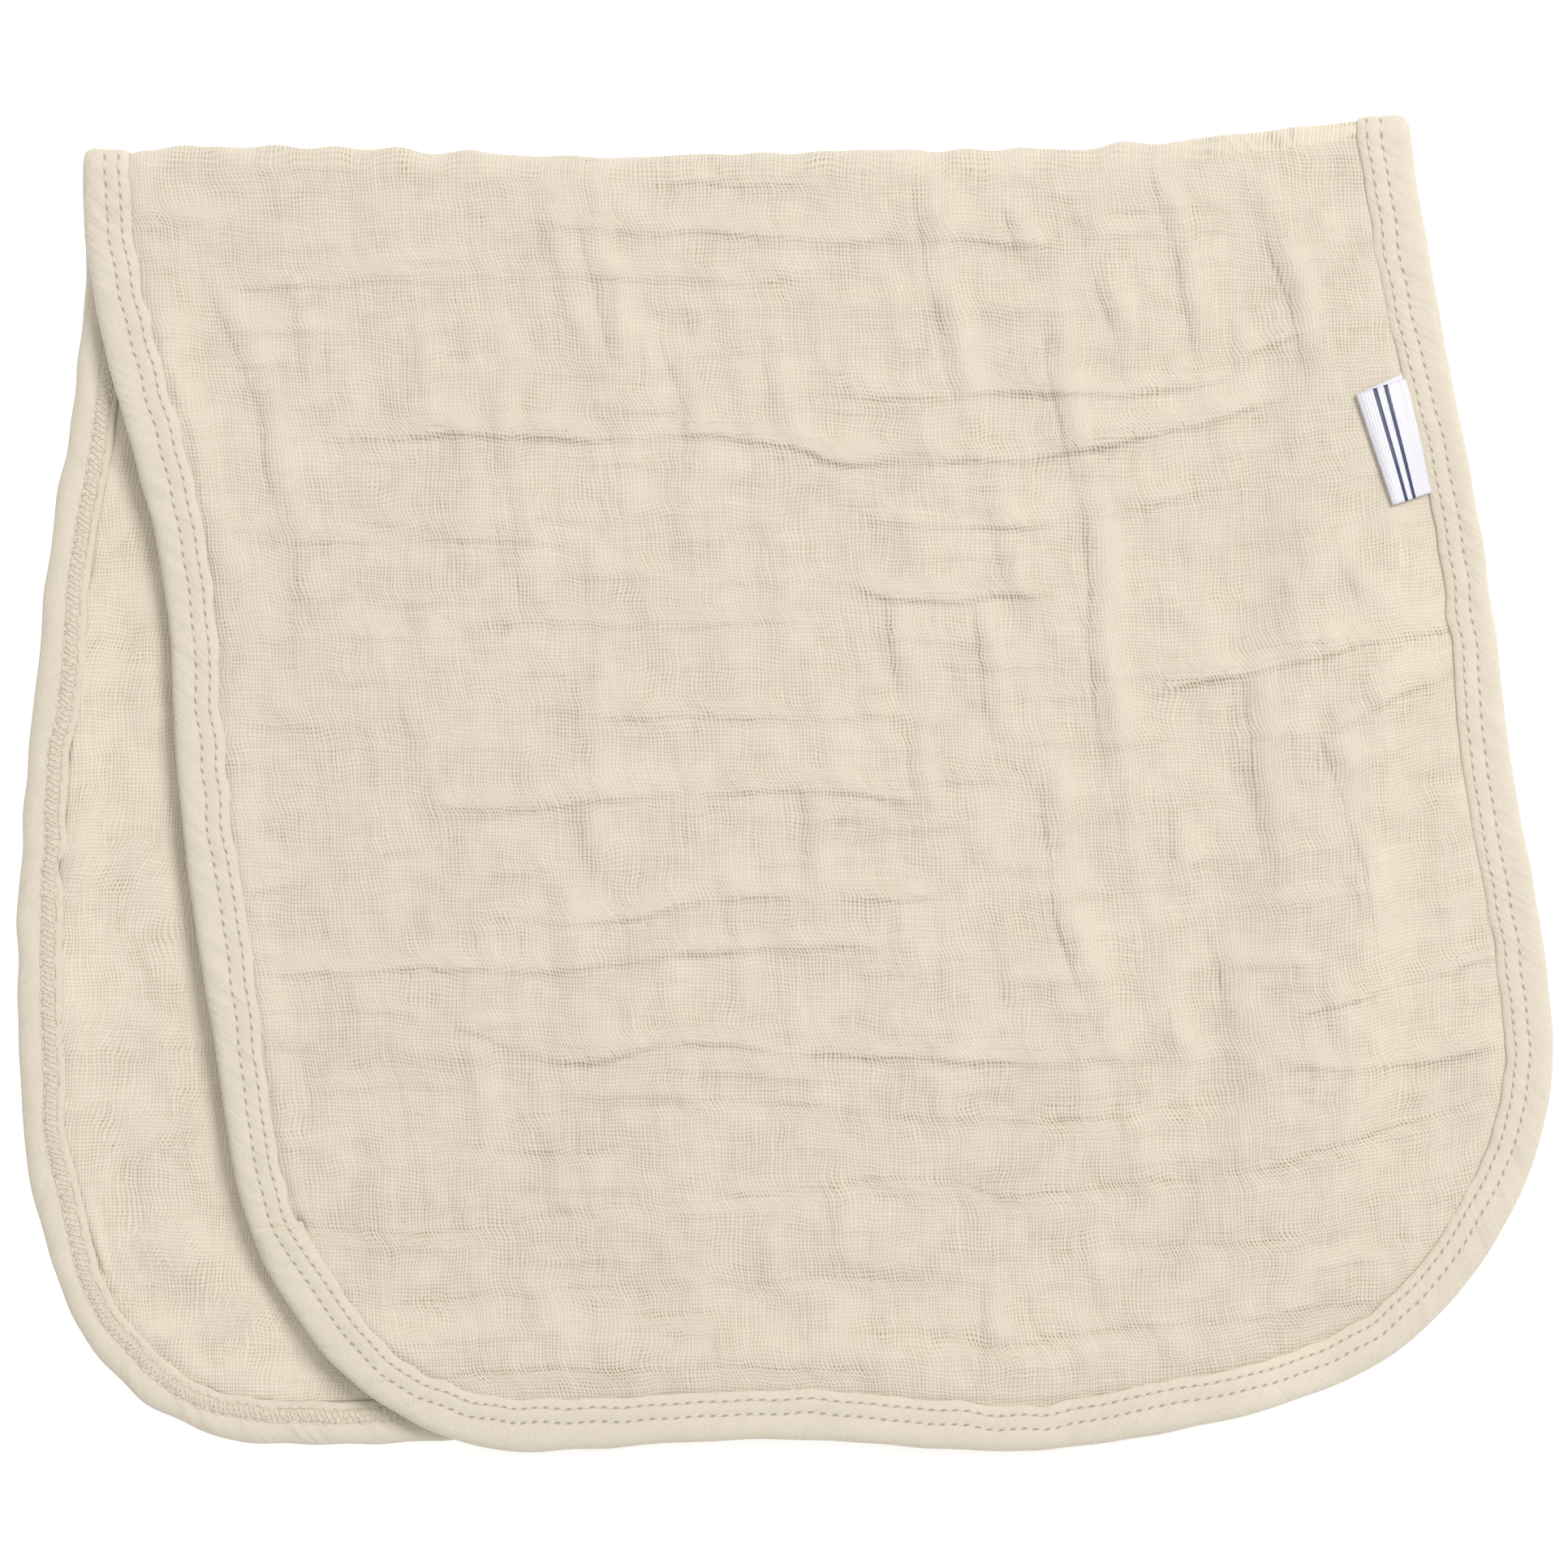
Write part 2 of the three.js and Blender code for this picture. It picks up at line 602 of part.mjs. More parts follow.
function sideLabel() {
  const vertices = [];
  const faces = [];
  const stations = 6;
  const alongSteps = 3;
  const passes = 6;
  const { ply, loopGap } = LABEL;
  const tall = 2 * ply + loopGap;
  const nose = tall / 2;
  const down = new THREE.Vector2(
    LABEL.foldBottom[0] - LABEL.foldTop[0],
    LABEL.foldBottom[1] - LABEL.foldTop[1],
  ).normalize();
  const across = new THREE.Vector2(-down.y, down.x);
  const section = (length) => {
    const run = (from, to, height) =>
      Array.from({ length: alongSteps + 1 }, (_, k) => [lerp(from, to, k / alongSteps), height]);
    const turn = (radius) =>
      [-45, 0, 45].map((degrees) => [
        length - nose + radius * Math.cos(radians(degrees)),
        nose + radius * Math.sin(radians(degrees)),
      ]);
    return [
      ...run(0, length - nose, 0),
      ...turn(nose),
      ...run(length - nose, 0, tall),
      ...run(0, length - nose, tall - ply),
      ...turn(loopGap / 2).reverse(),
      ...run(length - nose, 0, ply),
    ];
  };
  let sides = 0;
  for (let k = 0; k <= stations; k += 1) {
    const f = k / stations;
    const foldX = LABEL.foldTop[0] + f * LABEL.width * down.x;
    const foldY = LABEL.foldTop[1] + f * LABEL.width * down.y;
    let length = LABEL.length;
    let root = [0, 0];
    for (let pass = 0; pass < passes; pass += 1) {
      root = innerTapeEdge(foldY + length * across.y);
      length = (root[0] - foldX) / across.x;
    }
    const points = section(length);
    sides = points.length;
    for (const [along, height] of points) {
      const x = foldX + (length - along) * across.x;
      const y = foldY + (length - along) * across.y;
      const cloth = upperHeight(x, y) + PANEL_THICK / 2;
      const toFold = along / length;
      const rise = LABEL.foldRise * toFold ** 2 + LABEL.rootRise * (1 - toFold) ** 2;
      vertices.push([x, y, cloth + LABEL.aboveCloth + rise + height]);
    }
  }
  for (let k = 0; k < stations; k += 1) {
    for (let m = 0; m < sides; m += 1) {
      const next = (m + 1) % sides;
      faces.push(...quad(k * sides + m, (k + 1) * sides + m, (k + 1) * sides + next, k * sides + next));
    }
  }
  const outline = section(LABEL.length).map(([a, b]) => new THREE.Vector2(a, b));
  for (const [a, b, c] of THREE.ShapeUtils.triangulateShape(outline, [])) {
    faces.push([a, b, c]);
    faces.push([a, c, b].map((index) => index + stations * sides));
  }
  return meshFrom("side_label", vertices, faces, RIBBON_WHITE, 0.45);
}

const burpCloth = new THREE.Group();
burpCloth.add(muslinPanel(), edgeBinding(), sideLabel());

export default burpCloth;
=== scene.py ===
"""A burp cloth of soft cotton gauze, bound all round and folded over at its waist, on a light table."""

import math

import bpy
import numpy as np
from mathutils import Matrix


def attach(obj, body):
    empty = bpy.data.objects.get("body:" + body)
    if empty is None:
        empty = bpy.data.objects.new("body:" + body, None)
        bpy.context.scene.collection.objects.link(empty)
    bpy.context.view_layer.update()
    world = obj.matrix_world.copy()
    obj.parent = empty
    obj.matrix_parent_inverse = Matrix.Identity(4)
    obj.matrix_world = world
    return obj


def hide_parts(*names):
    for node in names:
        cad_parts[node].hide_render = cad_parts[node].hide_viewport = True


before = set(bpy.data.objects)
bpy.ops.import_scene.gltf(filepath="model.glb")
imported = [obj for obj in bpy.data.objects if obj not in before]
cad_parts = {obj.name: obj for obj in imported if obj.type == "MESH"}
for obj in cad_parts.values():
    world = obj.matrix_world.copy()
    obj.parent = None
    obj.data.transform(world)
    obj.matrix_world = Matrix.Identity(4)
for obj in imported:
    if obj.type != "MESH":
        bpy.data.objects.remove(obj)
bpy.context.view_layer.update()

# The cloth is laid out in millimetres, x to the right and y towards the fold, as its solids are
MM = 0.001

# Panel, tape and fold, with the sizes of the solids that the pieces here stand for
PANEL_HALF = 1.0
PANEL_HALF_IN_TAPE = 0.7
PANEL_RIM_INSET = 7.6
TAPE_HALF_HEIGHT = 1.95
TAPE_WIDTH = 9.4
CLEARANCE = 0.4
EDGE_CLEARANCE = 1.2
STEP_OVER_OUTSIDE = 14
STEP_OVER_INSIDE = 15
FOLD_RADIUS = 2.8
FOLD_AXIS_Y = 118.2
HALF_BEND = FOLD_RADIUS * math.pi / 2
FOLD_SETTLES_OVER = 30
FOLD_WAVE_REACH = 45
HEM_WAVE_REACH = 40
PUFF = 1.7

# Steps along a layer's edge, and points round each of its corners, an odd number
EDGE_STEP = 2
CORNER_POINTS = 41
EDGE_TURNS_OVER = 25

# How far the fold line wanders from its mean, as (x, out)
FOLD_WAVE = [
    (-135, -0.4), (-110, 1.6), (-50, -0.9), (-25, -1.1), (20, 0),
    (33, -1.1), (68, 1.4), (91, 4.0), (110, 6.4), (121, 5.9),
]

# Each layer's sides as if its corners were square, as (y, left, right), and what each round
# corner takes away of the side (up) and of the hem (along). A corner of fullness 2 is a
# quarter ellipse, and a fuller one is squarer
UPPER = {
    "hem": -128.2,
    "sides": [
        (122, -134.9, 119.8), (104, -134.2, 122.9), (84, -130.7, 127.1), (50, -121.6, 134.2),
        (28, -118.2, 137.6), (5, -117.1, 140.3), (-25, -113.7, 145.8), (-50, -109.7, 148.8),
        (-75, -106.1, 150.2), (-88, -104.8, 151.5), (-102, -102.8, 154.1), (-115, -101, 157.8),
        (-129, -98, 160.2),
    ],
    "left_corner": {"up": 60, "along": 48, "fullness": 2},
    "right_corner": {"up": 85, "along": 116, "fullness": 2.2},
    "hem_wave": [
        (-65, 0), (-45, -0.1), (-14, 1.9), (6, 2), (26, 0.6), (46, -0.1), (62, 0.9), (80, 1.7),
        (100, 1.3), (120, 0),
    ],
}
LOWER = {
    "hem": -127.6,
    "sides": [
        (122, -134.9, 120.3), (98, -134.6, 118.6), (74, -137.1, 116.8), (50, -141, 114.9),
        (25, -143.8, 113), (0, -146.2, 111), (-25, -147.8, 109), (-50, -148.1, 107.1),
        (-75, -151, 105.1), (-88, -152.1, 104.1), (-104, -155.4, 102.9), (-129, -158.6, 101),
    ],
    "left_corner": {"up": 95, "along": 64, "fullness": 2.2},
    "right_corner": {"up": 70, "along": 52, "fullness": 2},
    "hem_wave": [(-92, 0), (-72, 0.7), (-45, 2.4), (60, 3), (101, 3)],
}

# The upper layer's left edge is not pressed flat: how high it stands, as (y, lift)
LEFT_EDGE_LIFT = [
    (122, 0), (80, 0.2), (40, 0.8), (0, 1.4), (-40, 1.8), (-80, 1.5), (-115, 0.4), (-129, 0),
]

# Creases as (strength, width, places). Those across the cloth are ridges with a steep side
# below, and towards the hem also valleys; those down the cloth are ridges with a steep left
# side. Every line of places is the steep side's middle, or the valley's bottom
CREASES_ACROSS = [
    (0.85, 2.8, [(-28, 115), (7, 116)]),
    (0.85, 2.8, [(-48, 108), (-17, 106), (5, 105), (52, 104)]),
    (0.56, 2.8, [(-107, 96), (-63, 97)]),
    (0.56, 2.8, [(-37, 97), (5, 97)]),
    (1.11, 2.8, [(8, 75), (33, 75), (80, 77), (93, 84), (99, 87)]),
    (1.32, 3.0, [(-88, 67), (-37, 67), (-1, 66), (13, 62), (44, 63), (71, 67), (99, 76)]),
    (1.03, 2.6, [(68, 54), (87, 58)]),
    (0.94, 2.8, [(15, 50), (51, 50)]),
    (0.56, 2.8, [(-104, 47), (-42, 47)]),
    (1.11, 2.6, [(12, 39), (22, 36), (49, 36)]),
    (0.71, 2.8, [(-57, 31), (-10, 31)]),
    (0.79, 2.8, [(-35, 13), (24, 13)]),
    (1.32, 3.0, [(71, 17), (90, 22), (107, 26), (130, 30)]),
    (1.03, 2.8, [(105, 10), (115, 15), (130, 23)]),
    (0.85, 2.8, [(-67, -4), (-42, -4), (-10, -1), (27, -3)]),
    (0.71, 2.6, [(-104, -20), (-91, -19)]),
    (0.85, 2.8, [(-57, -26), (-34, -26), (-10, -22), (29, -22)]),
    (0.85, 2.8, [(-104, -36), (-38, -35), (-2, -31), (21, -32)]),
    (1.1, 3.0, [(-63, -47), (-42, -53), (-20, -50), (2, -51), (26, -53), (66, -53)]),
    (0.92, 2.8, [(99, -44), (115, -40), (137, -33)]),
    (0.98, 2.8, [(96, -55), (115, -54), (138, -51)]),
]
VALLEYS_ACROSS = [
    (0.8, 2.8, [(-52, -65), (-23, -61), (5, -62), (41, -65), (90, -61)]),
    (0.6, 2.6, [(-65, -69), (-42, -71), (-29, -69)]),
    (1.0, 2.8, [(-10, -79), (29, -76), (44, -79), (74, -76), (99, -72), (138, -59)]),
    (0.8, 2.8, [(-95, -84), (-76, -87), (-45, -83), (-18, -80)]),
    (0.8, 2.8, [(52, -90), (99, -87)]),
    (0.7, 2.6, [(-7, -96), (16, -95), (33, -96)]),
    (0.8, 2.8, [(-76, -100), (-42, -97), (-18, -96)]),
    (0.6, 2.4, [(-29, -102), (-10, -101)]),
    (0.9, 2.8, [(27, -105), (44, -108), (68, -104), (91, -103), (115, -99)]),
    (1.2, 2.8, [(-70, -115), (-45, -112), (-23, -113), (-10, -112), (15, -112)]),
]
CREASES_DOWN = [
    (0.92, 2.8, [(-114, 110), (-106, 87), (-100, 73), (-97, 57), (-94, 45), (-92, 31)]),
    (0.79, 2.6, [(-120, 90), (-114, 70), (-110, 51), (-105, 28)]),
    (0.79, 2.4, [(-73, 85), (-70, 68)]),
    (0.79, 2.4, [(-45, 109), (-39, 84)]),
    (1.1, 2.6, [(-38, 108), (-35, 93), (-31, 81)]),
    (0.79, 2.6, [(-56, 76), (-52, 57), (-49, 32)]),
    (0.71, 2.4, [(-32, 65), (-29, 48)]),
    (0.79, 2.4, [(-23, 87), (-18, 74), (-17, 63)]),
    (0.71, 2.4, [(-2, 82), (1, 63)]),
    (0.79, 2.6, [(-74, 26), (-71, 10), (-67, -4)]),
    (0.71, 2.6, [(-37, 43), (-35, 15)]),
    (0.71, 2.6, [(-38, -4), (-36, -18)]),
    (0.71, 2.4, [(2, 4), (5, -5), (4, -22)]),
    (1.21, 2.8, [(26, 120), (31, 88), (35, 71)]),
    (1.11, 2.6, [(43, 112), (48, 98)]),
    (1.63, 2.8, [(51, 88), (54, 74), (59, 48), (61, 26), (61, 17), (63, 2)]),
    (1.21, 2.6, [(58, 110), (65, 85)]),
    (1.21, 2.6, [(72, 118), (76, 102), (82, 79)]),
    (1.55, 2.8, [(90, 118), (96, 99), (101, 81)]),
    (1.21, 2.6, [(21, 35), (23, 18), (27, -4)]),
    (1.01, 2.4, [(38, 35), (41, 10)]),
    (1.29, 3.0, [(48, 13), (52, -8), (55, -30), (63, -51)]),
    (1.55, 2.8, [(90, 22), (91, 4), (94, -12)]),
    (1.3, 2.8, [(105, 10), (110, -7), (116, -33)]),
    (0.92, 2.6, [(82, -26), (87, -48)]),
    (1.01, 2.4, [(76, -4), (76, -18)]),
    (1.01, 2.4, [(108, 42), (112, 32)]),
    (0.75, 2.4, [(40, -96), (40, -115)]),
]
RIDGES = [
    (0.7, 2.6, [(5, 92), (57, 92)]),
    (0.3, 2.6, [(74, -24), (77, -57), (83, -88)]),
]
LOWER_CREASES = [
    (1.6, 5.2, [(-146, -20), (-128, -19), (-116, -20)]),
    (1.4, 5.2, [(-137, -26), (-128, -28), (-115, -29)]),
    (1.2, 5.2, [(-137, -7), (-120, -7)]),
    (1.4, 5.2, [(-139, 20), (-122, 22)]),
    (1.4, 5.2, [(-137, -52), (-113, -50)]),
    (1.6, 5.2, [(-134, -72), (-108, -68)]),
    (1.6, 5.2, [(-126, -94), (-104, -88)]),
    (1.4, 5.2, [(-112, -108), (-94, -102)]),
]
# Section across a crease, in widths: it goes up straight from the foot to the crest, and down
# softly over the tail; height is in millimetres, and below 0 for a valley. Its line is so far
# from the places, and sharp is how marked that line is
CREASE_SECTIONS = {
    "across": {
        "foot": -0.4, "crest": 0.05, "tail": 1.15, "height": 0.45, "line": -0.17, "sharp": 0.8,
    },
    "valley": {
        "foot": -1.0, "crest": 0.0, "tail": 1.2, "height": -0.32, "line": 0.0, "sharp": 0.65,
    },
    "down": {
        "foot": -0.6, "crest": 0.45, "tail": 1.3, "height": 0.58, "line": -0.5, "sharp": 0.55,
    },
}
# A crease's line fades this far from it. A crease wanders off its places and comes and goes
# along its run in sines, as (size, run for each radian, phase for each millimetre of length)
LINE_REACH = (1.6, 3.4)
NO_LINE_NEAR = 9.0
CREASE_WANDER = [(0.45, 7, 1), (0.2, 2.7, 2)]
CREASE_BREAKS = [(0.35, 4.1, 3), (0.35, 9.7, 5)]
THREAD_SHIFT_ACROSS = 1.0
THREAD_SHIFT_DOWN = 0.5

# Small faint creases in between, in uneven rows this far apart
SMALL_CREASE_PITCH = 7.5
SMALL_CREASE_LENGTHS = (10, 32)
SMALL_CREASE_STRENGTHS = (0.1, 0.62)
SMALL_CREASE_SHARP = 0.5

# Soft unevenness of each layer, as (height, size, seed of its draws)
UPPER_UNEVEN = [(0.14, 24, 1), (0.05, 9, 2)]
LOWER_UNEVEN = [(0.3, 16, 5), (0.12, 8, 6)]
BEND_UNEVEN = (0.28, 12, 8)

# Beside the tape the cloth is drawn in: it gathers, stands up in a low roll, and has less
# relief than further in
UPPER_GATHERS = 0.2
UPPER_ROLL = 0.25
LOWER_GATHERS = 0.25
RELIEF_LOST_AT_TAPE = 0.4

# The lower layer's broad creases get a weaker step and less painted shade in their holes
# than the upper one's: the shares of their line and of their height that its weave shows
LOWER_LINE_SHARE = 0.3
LOWER_HEIGHT_SHARE = 0.4

# Tilt of the threads of each layer, as the cloth was turned when it was folded, and how they
# bow upwards at the right of the upper one
UPPER_TILT = math.tan(math.radians(8.9))
LOWER_TILT = math.tan(math.radians(6.3))
WEFT_RISE = {"from_x": 40, "bow": 0.155 / 140, "below_fold": 50}

# Grid of the panel: fine beside the tape, where it gathers, and even in between. The
# cloth's inner face has every second row and column, so both totals are odd
FINE_COLUMNS = 14
EVEN_COLUMNS = 189
FINE_SHARE = 0.045
UPPER_EVEN_ROWS = 239
UPPER_FINE_ROWS = 18
LOWER_EVEN_ROWS = 72
LOWER_FINE_ROWS = 16
BEND_ROWS = 12

# Tape: how far apart its sections are, the length of a stitch, the needle's two rows and how
# high their thread lies and stands on the good face, and the looper thread's rows on the
# other one. The section's points are (inset from the outer edge, height)
TAPE_SPACING = 0.85
STITCH = 2.3
GOOD_ROWS = (4.8, 7.5)
STITCH_RADIUS = 0.17
STITCH_LIES = 1.45
STITCH_STANDS = 0.2
WEB_ROWS = (4.4, 7.2)
WEB_RADIUS = 0.21
WEB_CROSSINGS = 4
WEB_WIDTH = 8.6
TAPE_SECTION = [
    (0.0, -1.0), (0.0, 0.0), (0.12, 0.75), (0.5, 1.35), (1.1, 1.72), (1.9, 1.92), (2.8, 1.95),
    (3.6, 1.9), (4.3, 1.8), (4.8, 1.67), (5.3, 1.76), (5.8, 1.8), (6.4, 1.79), (7.0, 1.71),
    (7.5, 1.58), (8.0, 1.58), (8.8, 1.4), (9.2, 1.18), (9.4, 0.96), (9.3, 0.86), (8.4, 0.85),
    (4.0, 0.9), (1.3, 0.8), (1.3, -0.8), (4.0, -0.9), (7.8, -0.85), (8.5, -0.86), (8.6, -0.98),
    (8.45, -1.2), (8.1, -1.42), (7.6, -1.54), (7.2, -1.48), (6.7, -1.58), (5.8, -1.62),
    (4.9, -1.59), (4.4, -1.52), (3.9, -1.67), (3.1, -1.85), (2.0, -1.95), (1.1, -1.75),
    (0.5, -1.4),
]

# How far the rows and the inner edge of the good face lie further in than their mean, as
# (distance from the fold's left end, further in)
ROWS_DRIFT = [
    (0, -0.4), (40, 0.7), (75, 0.1), (102, -0.2), (118, 0.4), (130, 0.2), (148, 0.8), (173, 0),
    (206, -0.4), (222, 1), (236, 0.6), (250, 0.1), (272, 1), (285, 0.8), (310, 0), (335, 0.5),
    (380, -0.5), (402, 0.5), (440, -0.3), (485, 0.3), (503, -0.1), (540, 0.4), (575, 0.3),
    (602, -0.6), (640, -0.6), (668, 0.9), (690, 0.9),
]
# Smaller unevenness, as (amount, size, seed of its draws): the rows on the other face, the
# rows on both, and the inner edge's fraying; and how much the outer edge wavers on each
WEB_WAVER = (0.22, 26, 11)
ROWS_WAVER = (0.12, 9, 12)
INNER_EDGE_FRAYS = (0.09, 7, 13)
OUTER_WAVER = {"good": 0.06, "other": 0.15, "size": 13}

# The tape's upper end is lapped over the other in a slanting step, and is wider there. A
# slanting seam joins two lengths of tape
TAPE_LAP = {"x": -98.5, "y": -86.0}
TAPE_LAP_WIDENS = 1.0
TAPE_LAP_STEP = 0.55
TAPE_GROOVE = 0.3
TAPE_SEAM_RIDGE = 0.14
LAP_HOLLOW = {"x": -93.2, "y": -85.2, "deep": 1.0, "wide": 1.3}
TAPE_SEAM = {"x": -131.0, "y": 108.5}

# Side label: the ends of its fold, the ribbon's width and ply, how high the loop stands and
# how far its lower ply peeks out. The cloth below it is flatter: how high it lies there, and
# how far from the label's middle that ends
LABEL = {"fold_top": (110, 74.8), "fold_bottom": (117.2, 53.1), "width": 22.4, "ply": 0.24}
LABEL_STEPS = 40
LABEL_LOOP = 0.85
LABEL_PEEK = 1.3
LABEL_PAD = 1.2
LABEL_REACH = 23
LABEL_SETTLES_OVER = 9

# Threads of the gauze: 14 to the centimetre each way, which shows at this distance. How
# unevenly they are spaced, in radians of one pitch, and how unevenly wide they are
THREAD_PITCH = 0.72
THREADS_APART = 2.8
THREADS_WIDTH = 1.5
TAPE_THREAD_PITCH = 0.5
GAUZE_PATCH = 9
GAUZE_TONE = 28

# Table, lights and camera, in metres but for the lens and the photograph's width and plane
TABLE_GLOW = 0.45
TABLE_SIZE = 4.0
TABLE_BELOW = 0.0002
WORLD_LIGHT = 0.5
KEY = {"at": (0.85, 0.6, 1.55), "size": 0.7, "watts": 21.5}
FILL = {"at": (-0.5, 0.2, 1.9), "size": 1.6, "watts": 6}
CAMERA_LENS = 150
PHOTO_WIDTH = 301.9
PHOTO_PLANE = 5.5

# The place on the flat cloth in millimetres, and the creases' lines as (distance from the
# line, how marked it is, height)
CLOTH_MAP = "cloth"
CREASE_LINES = ("lines_across", "lines_down")


def smooth(value, start, end):
    t = np.clip((value - start) / (end - start), 0, 1)
    return t * t * (3 - 2 * t)


def lerp(a, b, t):
    return a + (b - a) * t


def read_table(rows, column, at):
    """A smooth curve through a short table's rows, read at any value of its first column"""
    table = np.array(sorted(rows), float)
    key, value = table[:, 0], table[:, column]
    last = len(key) - 1
    before = np.maximum(np.arange(last + 1) - 1, 0)
    after = np.minimum(np.arange(last + 1) + 1, last)
    slope = (value[after] - value[before]) / (key[after] - key[before])
    at = np.clip(at, key[0], key[-1])
    i = np.clip(np.searchsorted(key, at, side="right") - 1, 0, last - 1)
    span = key[i + 1] - key[i]
    f = (at - key[i]) / span
    return (
        (1 + 2 * f) * (1 - f) ** 2 * value[i]
        + f * (1 - f) ** 2 * span * slope[i]
        + f**2 * (3 - 2 * f) * value[i + 1]
        + f**2 * (f - 1) * span * slope[i + 1]
    )


def soft_noise(x, y, size, seed, waves=26):
    """Even soft unevenness about size across, with a mean of 0 and a spread of 1"""
    draw = np.random.default_rng(seed)
    total = np.zeros(np.broadcast(x, y).shape)
    for _ in range(waves):
        angle = draw.uniform(0, math.tau)
        turns = math.tau / (size * draw.uniform(0.7, 1.5))
        phase = draw.uniform(0, math.tau)
        total += np.cos((x * math.cos(angle) + y * math.sin(angle)) * turns + phase)
    return total * math.sqrt(2 / waves)


class Outline:
    """Outer edge of one layer, from the fold's left end round the hem to the fold's right end"""

    def __init__(self, layer):
        hem = layer["hem"]
        left, right = layer["left_corner"], layer["right_corner"]
        turn = np.linspace(0, math.pi / 2, CORNER_POINTS)

        def side(column, y):
            return read_table(layer["sides"], column, y)

        def corner(column, size, way):
            power = 2 / size["fullness"]
            y = hem + size["up"] * (1 - np.sin(turn) ** power)
            gone = size["along"] * (1 - np.cos(turn).clip(0) ** power)
            return np.stack([side(column, y) + way * gone, y], 1)

        left_y = np.arange(FOLD_AXIS_Y, hem + left["up"], -EDGE_STEP)
        right_y = np.arange(hem + right["up"] + EDGE_STEP, FOLD_AXIS_Y, EDGE_STEP)
        right_y = np.append(right_y, FOLD_AXIS_Y)
        left_arc = corner(1, left, 1)
        right_arc = corner(2, right, -1)[::-1]
        hem_x = np.arange(left_arc[-1, 0] + EDGE_STEP, right_arc[0, 0], EDGE_STEP)
        points = np.concatenate([
            np.stack([side(1, left_y), left_y], 1),
            left_arc,
            np.stack([hem_x, np.full(len(hem_x), hem)], 1),
            right_arc,
            np.stack([side(2, right_y), right_y], 1),
        ])
        x, y = points.T
        at_fold = smooth(y, FOLD_AXIS_Y - FOLD_WAVE_REACH, FOLD_AXIS_Y)
        at_hem = 1 - smooth(y, hem, hem + HEM_WAVE_REACH)
        y = y + read_table(FOLD_WAVE, 1, x) * at_fold + read_table(layer["hem_wave"], 1, x) * at_hem
        self.x, self.y = x, y
        self.reach = np.append(0, np.cumsum(np.hypot(np.diff(x), np.diff(y))))
        self.total = self.reach[-1]
        half = CORNER_POINTS // 2
        self.left_middle = self.reach[len(left_y) + half]
        self.right_middle = self.reach[len(left_y) + CORNER_POINTS + len(hem_x) + half]

    def at(self, distance):
        return np.interp(distance, self.reach, self.x), np.interp(distance, self.reach, self.y)

    def station(self, distance):
        """Places on the edge, and the directions there that point into the cloth"""
        x, y = self.at(distance)
        ahead, behind = self.at(distance + 4), self.at(distance - 4)
        along_x, along_y = ahead[0] - behind[0], ahead[1] - behind[1]
        size = np.hypot(along_x, along_y)
        near_fold = smooth(y, FOLD_AXIS_Y - EDGE_TURNS_OVER, FOLD_AXIS_Y)
        in_x = lerp(-along_y / size, np.sign(-along_y), near_fold)
        in_y = lerp(along_x / size, 0, near_fold)
        size = np.hypot(in_x, in_y)
        return x, y, in_x / size, in_y / size

    def inset(self, distance, depth):
        x, y, in_x, in_y = self.station(distance)
        return x + depth * in_x, y + depth * in_y

    def path(self):
        return np.stack([self.x, self.y], 1)


def beside(path, x, y):
    """Signed distance from a line of points, above 0 on its left, the plain distance, the
    place along the line, which goes on past its ends, and the line's length"""
    best = np.full(x.shape, np.inf)
    across = np.zeros(x.shape)
    run = np.zeros(x.shape)
    reach = 0
    last = len(path) - 2
    for k in range(last + 1):
        (ax, ay), (bx, by) = path[k], path[k + 1]
        size = math.hypot(bx - ax, by - ay)
        dx, dy = (bx - ax) / size, (by - ay) / size
        t = (x - ax) * dx + (y - ay) * dy
        side = dx * (y - ay) - dy * (x - ax)
        held = np.clip(t, 0, size)
        gap = np.hypot(side, t - held)
        nearer = gap < best
        best = np.where(nearer, gap, best)
        across = np.where(nearer, side, across)
        open_end = (held == 0) & (k == 0) | (held == size) & (k == last)
        run = np.where(nearer, reach + np.where(open_end, t, held), run)
        reach += size
    return across, best, run, reach


upper_edge = Outline(UPPER)
lower_edge = Outline(LOWER)
FAR_BEYOND_FOLD = 400
lower_path = lower_edge.path()
lower_line = np.concatenate([
    [[lower_path[0, 0], FAR_BEYOND_FOLD]], lower_path, [[lower_path[-1, 0], FAR_BEYOND_FOLD]],
])


def resting_height(x, y):
    """Middle surface of the upper layer on the table, on the lower layer or on its edge"""
    on_lower = 2 * PANEL_HALF + CLEARANCE + PANEL_HALF
    on_edge = 2 * TAPE_HALF_HEIGHT + EDGE_CLEARANCE + PANEL_HALF
    across, gap, _, _ = beside(lower_line, x, y)
    inside = np.sign(across) * gap
    over = smooth(inside, -STEP_OVER_OUTSIDE, -1.5)
    past = smooth(inside, TAPE_WIDTH + 2, TAPE_WIDTH + 2 + STEP_OVER_INSIDE)
    return lerp(lerp(PANEL_HALF, on_edge, over), on_lower, past)


def settled(y):
    return 1 - smooth(y, FOLD_AXIS_Y - FOLD_SETTLES_OVER, FOLD_AXIS_Y)


def upper_edge_height(x, y, in_x, in_y):
    """Height of the tape's middle surface along the upper layer's edge"""
    depths = np.linspace(0, 10.5, 5)
    rest = np.max([resting_height(x + d * in_x, y + d * in_y) for d in depths], axis=0)
    lift = np.where(x < 0, read_table(LEFT_EDGE_LIFT, 1, y), 0)
    top = TAPE_HALF_HEIGHT + 2 * FOLD_RADIUS
    return lerp(top, rest + TAPE_HALF_HEIGHT - PANEL_HALF + lift, settled(y))


edge_marks = np.arange(0, upper_edge.total, 2.0)
edge_heights = upper_edge_height(*upper_edge.station(edge_marks))


